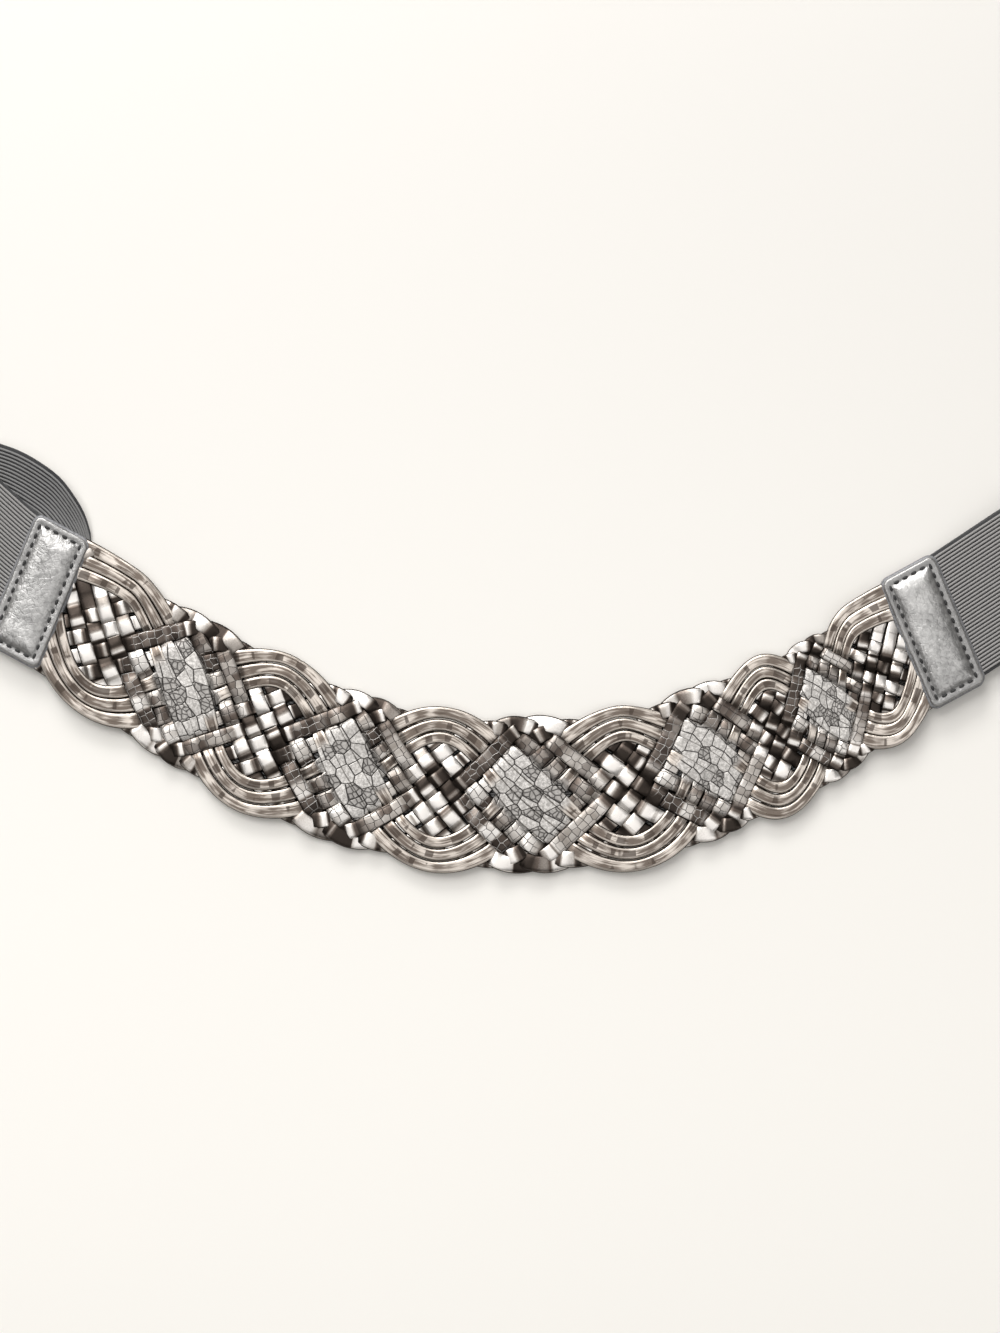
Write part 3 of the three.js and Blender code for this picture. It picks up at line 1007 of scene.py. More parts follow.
@dataclass
class PlaitedPanel:
    """The front panel: six ring strips and eight silver strips.

    Places along are in repeats, and sizes across and upwards in millimetres. The plait's lattice lines
    are counted from the nearest diamond. A range is where a soft step starts and ends.
    """

    midline: Midline
    start: float = 0.09
    end: float = 5.87
    grid_step: float = 0.004
    section_step: float = 0.0125
    lines: int = 7
    slope: float = 59.0
    steep: float = 60.0
    ring_reach: float = 27.0
    ring_pitch_at_lobe: float = 4.36
    ring_ranks: tuple[tuple[int, int], ...] = ((0, 2), (1, 1), (2, 0))
    end_spread: float = 0.27
    silver_turns: tuple[Range, ...] = ((-0.2143, 0.25), (-0.0714, 0.2), (0.0714, 0.2), (0.2143, 0.25))
    middle_z: float = 3.0
    weave: float = 0.62
    weave_range: Range = (0.85, 1.15)
    dip: float = 0.12
    thickness: float = 0.8
    fill: Zoned = Zoned(1.0, 0.94, 1.06)
    cell_fill: float = 0.92
    arch: Zoned = Zoned(0.26, 0.117, 0.026)
    roll: Zoned = Zoned(0.15, 0.1, 0.02)
    roll_step: float = 5.3
    frame_lines: int = 3
    frame_edge: Range = (3.5, 3.9)
    frame_along: Range = (2.3, 2.6)
    frame_across: Range = (2.0, 2.25)
    arc_from: Range = (0.17, 0.2)
    patch_falling: Range = (1.5, 1.7)
    patch_rising: Range = (2.4, 2.6)
    tones: Tones = Tones()
    near_tab: float = 0.36
    edge_glance: float = 0.16
    shortest_bend: float = 0.03
    long_bend: float = 1.3
    least_bend: float = 0.68
    lift: float = 1.3
    lift_left: Range = (0.36, 1.0)
    lift_right: Range = (1.2, 0.5)
    seed: int = 11
    uv_shift: Range = (37.0, 11.0)
    sheet_shift: float = 20.0
    diamonds_at: tuple[float, ...] = (0.0, 0.965, 2.01, 2.995, 3.93, 4.885, 6.0)
    slant: tuple[float, ...] = (-0.08, -0.065, -0.01, -0.01, 0.07, 0.115, 0.09)
    slant_reach: float = 23.0
    offset: tuple[float, ...] = (0.8, 1.0, 0.5, 0.7, 0.9, -0.8, -0.3, -1.3, -2.3, -2.7, -1.4, -0.8, 0.0)
    spread: tuple[float, ...] = (0.9, 0.93, 0.97, 1.01, 1.02, 1.02, 1.05, 1.02, 1.0, 0.98, 0.92, 0.89, 0.88)
    # A strip's section: place across, and height in thicknesses in the plait and in a patch
    section: tuple[Triple, ...] = (
        (-1.0, -0.3, 0.3),
        (-0.9, -0.1, 0.5),
        (-0.86, 0.38, 0.5),
        (-0.78, 0.5, 0.5),
        (-0.42, 0.5, 0.5),
        (0.0, 0.5, 0.5),
        (0.42, 0.5, 0.5),
        (0.78, 0.5, 0.5),
        (0.86, 0.38, 0.5),
        (0.9, -0.1, 0.5),
        (1.0, -0.3, 0.3),
        (0.9, -0.48, -0.48),
        (0.45, -0.5, -0.5),
        (-0.45, -0.5, -0.5),
        (-0.9, -0.48, -0.48),
    )

    @property
    def cell(self) -> float:
        """Distance between lattice lines, in repeats."""
        return 1.0 / self.lines

    @property
    def wide(self) -> float:
        """Distance between ring strips in a diamond, straight across the belt."""
        return self.slope * self.cell

    def strips(self) -> list[Strip]:
        """All strips, named as the solids that they stand for.

        Returns:
            The strips, in order.
        """
        sides = (1, -1)
        rings = [(side, ranks) for side in sides for ranks in self.ring_ranks]
        silver = [(side, turn) for side in sides for turn in self.silver_turns]
        rows: list[Strip] = []
        for n, (side, ranks) in enumerate(rings):
            rows.append(Strip(f"ring_strip_{n + 1}", Kind.RING, side, *ranks))
        for n, (side, (along, rounding)) in enumerate(silver):
            rows.append(Strip(f"silver_strip_{n + 1}", Kind.SILVER, side, along=along, rounding=rounding))
        return rows

    def from_end(self, u: Array | float) -> Array | float:
        """Distance from the nearer end of the midline."""
        return np.minimum(u, self.midline.repeats - u)

    def lobe(self, strip: Strip, u: Array) -> tuple[Array, Array]:
        """Where a ring strip is in its lobe.

        Args:
            strip: the strip.
            u: places in repeats.

        Returns:
            1 above or -1 below the midline, and the distance from the nearest diamond.
        """
        number = np.clip(np.floor(u), 0, self.midline.repeats - 1)
        up = np.where(number % 2 == 0, strip.side, -strip.side)
        left = u - number
        closing = np.minimum(left, 1.0 - left)
        wide = self.end_spread + (0.5 - self.end_spread) * 2.0 * closing
        return up, np.where((self.from_end(u) < 0.5) & (up > 0), wide, closing)

    def ring_pitch(self, distance: Array) -> Array:
        """Distance between ring strips, straight across the belt."""
        return self.wide + (self.ring_pitch_at_lobe - self.wide) * smoothstep(distance, 0.0, 0.5)

    def phase(self, u: Array) -> Array:
        """Place in the plait's pattern, which has a diamond at each whole number."""
        return flowing(u, self.diamonds_at, np.arange(len(self.diamonds_at), dtype=float))

    def bending(self, u: Array) -> tuple[Array, Array]:
        """How far the pattern lies off the midline, and how widely it spreads."""
        halves = np.arange(len(self.offset)) / 2.0
        return flowing(u, halves, self.offset), flowing(u, halves, self.spread)

    def lay(self, u: Array, v: Array, z: Array) -> Array:
        """Points of the panel, whose pattern slants a little towards its ends.

        Args:
            u: places in repeats.
            v: distances from the midline.
            z: heights.

        Returns:
            Points in millimetres.
        """
        slant = flowing(u, np.arange(len(self.slant), dtype=float), self.slant)
        return self.midline.place(u + slant * v / self.slant_reach, v, z)

    def across(self, strip: Strip, u: Array) -> Array:
        """Distance of a strip's middle from the midline.

        Args:
            strip: the strip.
            u: places in repeats.

        Returns:
            Distances in millimetres.
        """
        even = self.even_ring if strip.kind is Kind.RING else self.even_silver
        offset, spread = self.bending(u)
        return offset + spread * even(strip, self.phase(u))

    def even_ring(self, strip: Strip, u: Array) -> Array:
        """Distance of a ring strip's middle in an even plait.

        Args:
            strip: the strip.
            u: places in the pattern.

        Returns:
            Distances in millimetres.
        """
        up, distance = self.lobe(strip, u)
        outer = self.wide + (self.ring_reach - self.wide) * np.sin(math.pi * distance)
        return up * (outer - np.where(up > 0, strip.above, strip.below) * self.ring_pitch(distance))

    def even_silver(self, strip: Strip, u: Array) -> Array:
        """Distance of a silver strip's middle in an even plait.

        Args:
            strip: the strip.
            u: places in the pattern.

        Returns:
            Distances in millimetres.
        """
        leg = np.floor(u - strip.along)
        up = np.where(leg % 2 == 0, strip.side, -strip.side)
        past = u - strip.along - leg
        nearest = np.minimum(past, 1.0 - past)
        sign = np.where(past < 0.5, up, -up)
        r = strip.rounding
        turned = sign * self.steep * (0.5 - r / 2.0 - nearest**2 / (2.0 * r))
        return np.where(nearest < r, turned, up * self.steep * (0.5 - past))

    def line(self, strip: Strip, u: float, diamond: int) -> int:
        """Which lattice line a strip follows.

        Args:
            strip: the strip.
            u: the place in the pattern.
            diamond: the nearest diamond's number.

        Returns:
            The line's number, counted from the diamond.
        """
        if strip.kind is Kind.SILVER:
            leg = math.floor(u - strip.along)
            return round((leg + strip.along + 0.5) / self.cell) - self.lines * diamond
        above = strip.side > 0 if diamond % 2 == 0 else strip.side < 0
        return (strip.above if above else strip.below) - 1

    def falling_on_top(self, falling: int, rising: int) -> bool:
        """Which strip passes over at a crossing.

        Args:
            falling: lattice line of the strip that runs down to the right.
            rising: lattice line of the other strip.

        Returns:
            Whether the falling strip lies on top.
        """
        a, b = abs(falling), abs(rising)
        if a <= 1:
            return b <= 2 or b >= 4
        if b <= 1:
            return a == self.frame_lines
        return (falling + rising) % 2 == 0

    def tone_range(self, falling: int, rising: int, falls: bool, rng: np.random.Generator) -> Range:
        """How light the strip on top of a crossing may look.

        Args:
            falling: lattice line of the strip that runs down to the right.
            rising: lattice line of the other strip.
            falls: whether the falling strip is on top.
            rng: source of the differences.

        Returns:
            The range of its tone.
        """
        tones = self.tones
        if rising <= -self.frame_lines and abs(falling) < self.frame_lines and not falls:
            return tones.upper_left_band
        if max(abs(falling), abs(rising)) <= self.frame_lines:
            if not falls:
                return tones.frame_left if rising < 0 else tones.frame_right
            if falling > 0:
                return tones.frame_ahead
            return tones.ladder_dark if rising % 2 else tones.ladder_light
        if self.at_edge(falling, rising):
            return tones.edge
        kind = rng.uniform()
        if kind < tones.up_to_dark:
            return tones.cell_dark
        return tones.cell_light if kind < tones.up_to_light else tones.cell_middle

    def at_edge(self, falling: int, rising: int) -> bool:
        """Whether a crossing lies on the bumps at the panel's edges."""
        return abs(falling - rising) > 4 and max(abs(falling), abs(rising)) > self.frame_lines

    def glance(self, falling: int, rising: int, rng: np.random.Generator) -> float:
        """Which half of a crossing catches the light.

        Args:
            falling: lattice line of the strip that runs down to the right.
            rising: lattice line of the other strip.
            rng: source of the differences.

        Returns:
            A number from -1 to 1, small on the bumps at the edges.
        """
        share = float(rng.choice((-1.0, 1.0)) * rng.uniform(0.5, 1.0))
        return share * self.edge_glance if self.at_edge(falling, rising) else share

    def crossing(self, at: float, falls: Strip, rises: Strip, rng: np.random.Generator) -> Crossing:
        """Says how two strips cross.

        Args:
            at: where they cross.
            falls: the strip that runs down to the right.
            rises: the other strip.
            rng: source of the differences.

        Returns:
            The crossing, with the level of the falling strip.
        """
        place = float(self.phase(np.array([at]))[0])
        diamond = min(max(round(place), 0), int(self.midline.repeats))
        lines = (self.line(falls, place, diamond), self.line(rises, place, diamond))
        on_top = self.falling_on_top(*lines)
        if falls.kind is not rises.kind and self.from_end(place) < 0.5:
            on_top = falls.kind is Kind.RING
        tone = float(rng.uniform(*self.tone_range(*lines, on_top, rng)))
        if self.from_end(place) < self.near_tab:
            tone = max(tone, self.tones.beside_tab)
        return Crossing(at, 1.0 if on_top else -1.0, tone, self.glance(*lines, rng))

    def crossings(self, strips: list[Strip]) -> dict[str, list[Crossing]]:
        """Finds where strips cross and which is on top.

        Args:
            strips: all strips.

        Returns:
            The crossings of each strip, in order.
        """
        rng = np.random.default_rng(self.seed)
        u = np.arange(self.start, self.end + 1e-9, self.grid_step)
        v = {s.name: self.across(s, u) for s in strips}
        found: dict[str, list[Crossing]] = {s.name: [] for s in strips}
        for first, second in itertools.combinations(strips, 2):
            gap = v[first.name] - v[second.name]
            for k in np.nonzero(gap[:-1] * gap[1:] < 0)[0]:
                at = float(u[k] + self.grid_step * gap[k] / (gap[k] - gap[k + 1]))
                falls, rises = (first, second) if gap[k] > 0 else (second, first)
                row = self.crossing(at, falls, rises, rng)
                found[falls.name].append(row)
                found[rises.name].append(replace(row, level=-row.level))
        return {s.name: self.woven_on(s, sorted(found[s.name], key=lambda row: row.at), rng) for s in strips}

    def woven_on(self, strip: Strip, rows: list[Crossing], rng: np.random.Generator) -> list[Crossing]:
        """Lets a silver strip weave on beyond its first and last crossing, up to the tabs.

        Args:
            strip: the strip.
            rows: its crossings, in order.
            rng: source of the tones.

        Returns:
            The crossings with the added ones.
        """
        step = self.cell / 2.0
        while strip.kind is Kind.SILVER and rows[0].at > self.start + step:
            first, tone = rows[0], rng.uniform(*self.tones.beyond)
            rows.insert(0, Crossing(first.at - step, -first.level, tone, -first.glance))
        while strip.kind is Kind.SILVER and rows[-1].at < self.end - step:
            last, tone = rows[-1], rng.uniform(*self.tones.beyond)
            rows.append(Crossing(last.at + step, -last.level, tone, -last.glance))
        return rows

    def heights(self, u: Array, rows: list[Crossing], rng: np.random.Generator) -> Array:
        """Height of a strip over and under its neighbours.

        Args:
            u: places in repeats.
            rows: its crossings.
            rng: source of the small differences from crossing to crossing.

        Returns:
            Heights in millimetres around the panel's middle.
        """
        at = np.array([row.at for row in rows])
        level = np.array([row.level for row in rows]) * self.weave * rng.uniform(*self.weave_range, len(rows))
        k = np.clip(np.searchsorted(at, u) - 1, 0, len(at) - 2)
        t = np.clip((u - at[k]) / np.maximum(at[k + 1] - at[k], 1e-6), 0.0, 1.0)
        wave = np.cos(math.pi * t)
        share = 0.5 + 0.5 * (1.5 * wave - 0.5 * wave**3)
        dip = np.where(level[k] * level[k + 1] > 0, 1.0 - self.dip * np.sin(math.pi * t) ** 2, 1.0)
        return (level[k] * share + level[k + 1] * (1.0 - share)) * dip

    def tab_lift(self, u: Array) -> Array:
        """Height that the panel gains over the tabs' backings."""
        right = [self.midline.repeats - back for back in self.lift_right]
        return self.lift * np.maximum(1.0 - smoothstep(u, *self.lift_left), smoothstep(u, *right))

    def lattice(self, u: Array, v: Array) -> tuple[Array, Array, Array]:
        """Places between the plait's lattice lines.

        Args:
            u: places in repeats.
            v: distances from the midline.

        Returns:
            The diamond's number, and the places between the falling and between the rising lines.
        """
        place = self.phase(u)
        offset, spread = self.bending(u)
        number = np.round(place)
        past = (place - number) / self.cell
        lift = (v - offset) / spread / (self.steep * self.cell)
        return number, past + lift, past - lift

    def zones(self, strip: Strip, u: Array, v: Array) -> dict[str, Array]:
        """Shares of the kinds of surface along a strip.

        Args:
            strip: the strip.
            u: places in repeats.
            v: distances from the midline.

        Returns:
            The shares of arc, of flat patch and of small tiles, and how far inside its bundle it lies.
        """
        place = self.phase(u)
        _, fall, rise = self.lattice(u, v)
        falling, rising = np.abs(fall), np.abs(rise)
        frame = 1.0 - smoothstep(np.maximum(falling, rising), *self.frame_edge)
        frame = frame * (1.0 - smoothstep(np.abs((fall + rise) / 2.0), *self.frame_along))
        frame = frame * (1.0 - smoothstep(np.abs((fall - rise) / 2.0), *self.frame_across))
        frame = frame * (self.from_end(place) > 0.5)
        none = np.zeros_like(u)
        if strip.kind is Kind.SILVER:
            return {"arc": none, "patch": none, "tiled": frame, "inner": none}
        up, distance = self.lobe(strip, place)
        arc = smoothstep(distance, *self.arc_from)
        patch = 1.0 - smoothstep(falling, *self.patch_falling)
        patch = patch * (1.0 - smoothstep(rising, *self.patch_rising)) * (self.from_end(place) > 0.5)
        rank = np.where(up > 0, strip.above, strip.below) / 2.0
        return {"arc": arc, "patch": patch, "tiled": frame * (1.0 - arc), "inner": rank}

    def half_width(
        self, strip: Strip, u: Array, zones: dict[str, Array], stretch: Array, speed: Array
    ) -> Array:
        """Half the width of a strip.

        Args:
            strip: the strip.
            u: places in repeats.
            zones: shares of the kinds of surface.
            stretch: millimetres to a repeat along the belt.
            speed: millimetres to a repeat along the strip.

        Returns:
            Half widths in millimetres.
        """
        if strip.kind is Kind.RING:
            _, distance = self.lobe(strip, self.phase(u))
            return self.fill.along(zones) * self.ring_pitch(distance) * stretch / speed / 2.0
        fill = self.cell_fill + (self.fill.plain - self.cell_fill) * zones["tiled"]
        return fill * self.steep * self.cell * stretch / np.hypot(stretch, self.steep) / 2.0

    def build(self, strip: Strip, rows: list[Crossing], order: int, leather: Material) -> Piece:
        """Builds one strip.

        Args:
            strip: the strip.
            rows: its crossings.
            order: its place in the list, which sets its random numbers.
            leather: its finish.

        Returns:
            The strip's object.
        """
        rng = np.random.default_rng(self.seed + order)
        u = np.arange(self.start, self.end + 1e-9, self.section_step)
        v = self.across(strip, u)
        z = self.middle_z + self.tab_lift(u) + self.heights(u, rows, rng)
        middle = self.lay(u, v, z)
        stretch = np.linalg.norm(self.lay(u + 1e-3, v, z) - self.lay(u - 1e-3, v, z), axis=1) / 2e-3
        run = np.gradient(middle[:, :2], u, axis=0)
        speed = np.linalg.norm(run, axis=1)
        side = np.stack([-run[:, 1], run[:, 0]], axis=1) / speed[:, None]
        zones = self.zones(strip, u, v)
        length = lengths(middle)
        roll = self.waver(length, rng) * self.roll.along(zones)

        x, plaited, flat = np.array(self.section).T
        share = zones["patch"][:, None]
        height = (plaited * (1.0 - share) + flat * share) * self.thickness
        height = height + self.arch.along(zones)[:, None] * (1.0 - x**2)
        reach = self.half_width(strip, u, zones, stretch, speed)[:, None] * x
        points = np.zeros((len(u), len(x), 3))
        points[:, :, :2] = middle[:, None, :2] + side[:, None, :] * reach[:, :, None]
        points[:, :, 2] = middle[:, None, 2] + height + reach * np.sin(roll)[:, None]
        shift = [step * order for step in self.uv_shift]
        uv = np.stack(np.broadcast_arrays(length[:, None] + shift[0], reach + shift[1]), axis=2)

        # Painted reflection and painted shade of the cells: tone, closeness to the ends, and the half that
        # catches the light
        zones["tone"], zones["bend"], zones["glance"] = self.cell_tones(u, rows)
        values = {key: np.repeat(numbers, len(x)) for key, numbers in zones.items()}
        values["rim"] = np.tile(np.abs(x), len(u))
        along = unit(self.midline.curve(u)[1])
        ahead = reach * np.einsum("ij,ij->i", side, along)[:, None] / stretch[:, None]
        beyond = reach * (side[:, 1] * along[:, 0] - side[:, 0] * along[:, 1])[:, None]
        number, fall, rise = self.lattice((u[:, None] + ahead).ravel(), (v[:, None] + beyond).ravel())
        values["fall"], values["rise"] = fall + self.sheet_shift * number, rise
        faces = tube_faces(len(u), len(x))
        corners = points.reshape(-1, 3) * MM
        made = mesh_object(f"{strip.name}_leather", corners, faces, leather, uv.reshape(-1, 2), values)
        return dressed(outward(made), strip.kind.value, strip.name)

    def cell_tones(self, u: Array, rows: list[Crossing]) -> tuple[Array, Array, Array]:
        """Painted reflection tone of each crossing, how far each place is from its crossing, and how it
        catches the light.

        Args:
            u: places in repeats.
            rows: the strip's crossings.

        Returns:
            The nearest crossing's tone, 0 at a crossing's middle to 1 half way to the next or less on a
            long free stretch, and the glance, which changes sign at a crossing.
        """
        at, tones, glances = np.array([(row.at, row.tone, row.glance) for row in rows]).T
        nearest = np.argmin(np.abs(u[:, None] - at[None, :]), axis=1)
        after = np.clip(nearest + 1, 0, len(at) - 1)
        before = np.clip(nearest - 1, 0, len(at) - 1)
        ahead = u >= at[nearest]
        step = np.where(ahead, at[after] - at[nearest], at[nearest] - at[before])
        bend = np.clip(2.0 * np.abs(u - at[nearest]) / np.maximum(step, self.shortest_bend), 0.0, 1.0)
        usual = np.median(np.diff(at))
        bend = bend * np.clip(self.long_bend * usual / np.maximum(step, usual), self.least_bend, 1.0)
        return tones[nearest], bend, glances[nearest] * np.where(ahead, 1.0, -1.0) * np.sin(math.pi * bend)

    def waver(self, length: Array, rng: np.random.Generator) -> Array:
        """Smooth random numbers from -1 to 1 along a strip.

        Args:
            length: distances along the strip.
            rng: source of the numbers.

        Returns:
            The numbers.
        """
        raw = rng.uniform(-1.0, 1.0, len(np.arange(0.0, length[-1] + 2 * self.roll_step, self.roll_step)))
        k = np.clip((length / self.roll_step).astype(int), 0, len(raw) - 2)
        t = smoothstep(length / self.roll_step - k, 0.0, 1.0)
        return raw[k] * (1.0 - t) + raw[k + 1] * t

    def make(self, leather: Material) -> None:
        """Builds the whole panel.

        Args:
            leather: the strips' finish.
        """
        strips = self.strips()
        rows = self.crossings(strips)
        for order, strip in enumerate(strips):
            self.build(strip, rows[strip.name], order, leather)


# Tabs


class End(Enum):
    """An end of the panel."""

    LEFT = -1
    RIGHT = 1


@dataclass
class Tab:
    """A padded tab with its backing and its stitching.

    Each row of a table is an outline of the tab: its inset, its height, and its share of the rim's tone.
    """

    end: End
    centre: Range
    length: float = 21.0
    width: float = 48.6
    heading: float = 28.5
    lean: float = 22.6
    corner: float = 2.8
    least_corner: float = 0.9
    corner_steps: int = 8
    side_steps: int = 9
    face_z: float = 5.7
    backing_z: float = 1.8
    stitch_inset: float = 2.45
    stitch_lift: float = 0.98
    stitch_pitch: float = 3.55
    stitch_length: float = 2.25
    stitch_width: float = 1.05
    face_rows: tuple[Triple, ...] = (
        (0.7, 0.0, 1.0),
        (0.15, 0.1, 1.0),
        (0.0, 0.35, 1.0),
        (0.05, 0.7, 0.85),
        (0.3, 0.98, 0.45),
        (0.7, 1.1, 0.65),
        (1.6, 1.06, 0.75),
        (2.3, 0.86, 0.85),
        (2.7, 0.84, 0.9),
        (3.1, 1.0, 0.6),
        (3.6, 1.32, 0.1),
        (4.4, 1.66, 0.0),
        (5.4, 1.92, 0.0),
        (6.8, 2.1, 0.0),
        (8.4, 2.2, 0.0),
        (9.4, 2.22, 0.0),
    )
    backing_rows: tuple[Triple, ...] = (
        (0.0, 0.0, 0.0),
        (-0.6, 0.2, 0.0),
        (-0.8, 0.5, 0.0),
        (-0.8, 0.8, 0.0),
        (-0.2, 1.0, 0.0),
    )
    side_rows: tuple[Triple, ...] = (
        (-0.2, 1.05, 0.0),
        (-0.7, 1.25, 0.0),
        (-0.85, 2.4, 0.0),
        (-0.75, 3.5, 0.0),
        (-0.1, 3.85, 0.0),
    )

    @property
    def name(self) -> str:
        """The tab's name in the record."""
        return f"tab_{self.end.name.lower()}"

    def outline(self, inset: float, z: float) -> Array:
        """Rounded outline of the tab in the part's frame.

        Args:
            inset: how far it is set in.
            z: its height.

        Returns:
            Points in millimetres.
        """
        half = (self.length / 2.0 - inset, self.width / 2.0 - inset)
        r = max(self.corner - inset, self.least_corner)
        points: list[Range] = []
        for x, y, first in ((1, 1, 0), (-1, 1, 90), (-1, -1, 180), (1, -1, 270)):
            for k in range(self.corner_steps + 1):
                a = math.radians(first + 90.0 * k / self.corner_steps)
                points.append((x * (half[0] - r) + r * math.cos(a), y * (half[1] - r) + r * math.sin(a)))
        rows: list[Range] = []
        for k, (a, b) in enumerate(zip(points, points[1:] + points[:1])):
            n = self.side_steps if k % (self.corner_steps + 1) == self.corner_steps else 1
            rows += [(a[0] + (b[0] - a[0]) * j / n, a[1] + (b[1] - a[1]) * j / n) for j in range(n)]
        return self.lay(np.array(rows), z)

    def lay(self, flat: Array, z: float) -> Array:
        """Leans and turns points of the tab into the part's frame.

        Args:
            flat: points along and across the tab.
            z: their height.

        Returns:
            Points in millimetres.
        """
        lean = math.radians(self.heading - self.lean)
        x = flat[:, 0] + self.end.value * math.sin(lean) * flat[:, 1]
        y = flat[:, 1] * math.cos(lean)
        turn = math.radians(self.heading) if self.end is End.RIGHT else math.pi - math.radians(self.heading)
        out = np.full((len(flat), 3), float(z))
        out[:, 0] = self.centre[0] + x * math.cos(turn) - y * math.sin(turn)
        out[:, 1] = self.centre[1] + x * math.sin(turn) + y * math.cos(turn)
        return out

    def stack(self, part: str, base: float, rows: tuple[Triple, ...], material: Material) -> Piece:
        """A solid through outlines.

        Args:
            part: what it is, for its name.
            base: the height that the rows start from.
            rows: its outlines, from below upwards.
            material: its finish.

        Returns:
            The piece.
        """
        outlines = [self.outline(inset, base + height) for inset, height, _ in rows]
        around = len(outlines[0])
        rim = np.repeat([share for _, _, share in rows], around)
        faces = tube_faces(len(rows), around)
        name, points = f"{self.name}_{part}", np.vstack(outlines) * MM
        return outward(mesh_object(name, points, faces, material, values={"rim": rim}))

    def stitches(self, thread: Material) -> Piece:
        """Sews the dashes round the rim.

        Args:
            thread: their finish.

        Returns:
            The stitches.
        """
        path = self.outline(self.stitch_inset, self.face_z + self.stitch_lift)
        sewn = Stitches(thread, self.stitch_pitch, self.stitch_length, self.stitch_width)
        loop = [(k, (k + 1) % len(path)) for k in range(len(path))]
        return sewn.along(f"{self.name}_stitches", path, loop)

    def make(self, foil: Material, leather: Material, thread: Material) -> None:
        """Builds the whole tab.

        Args:
            foil: the face's finish.
            leather: the backing's finish.
            thread: the stitches' finish.
        """
        made = self.stack("foil", self.face_z, self.face_rows, foil)
        dressed(made, "foil_leather", f"{self.name}_face")
        lining = self.stack("lining", self.backing_z, self.backing_rows, leather)
        dressed(lining, "backing_leather", f"{self.name}_backing")
        # The side of the tab is turned down from the face around the strips' ends
        dressed(self.stack("side", self.backing_z, self.side_rows, leather), "backing_leather")
        dressed(self.stitches(thread), "backing_leather")


# The elastic


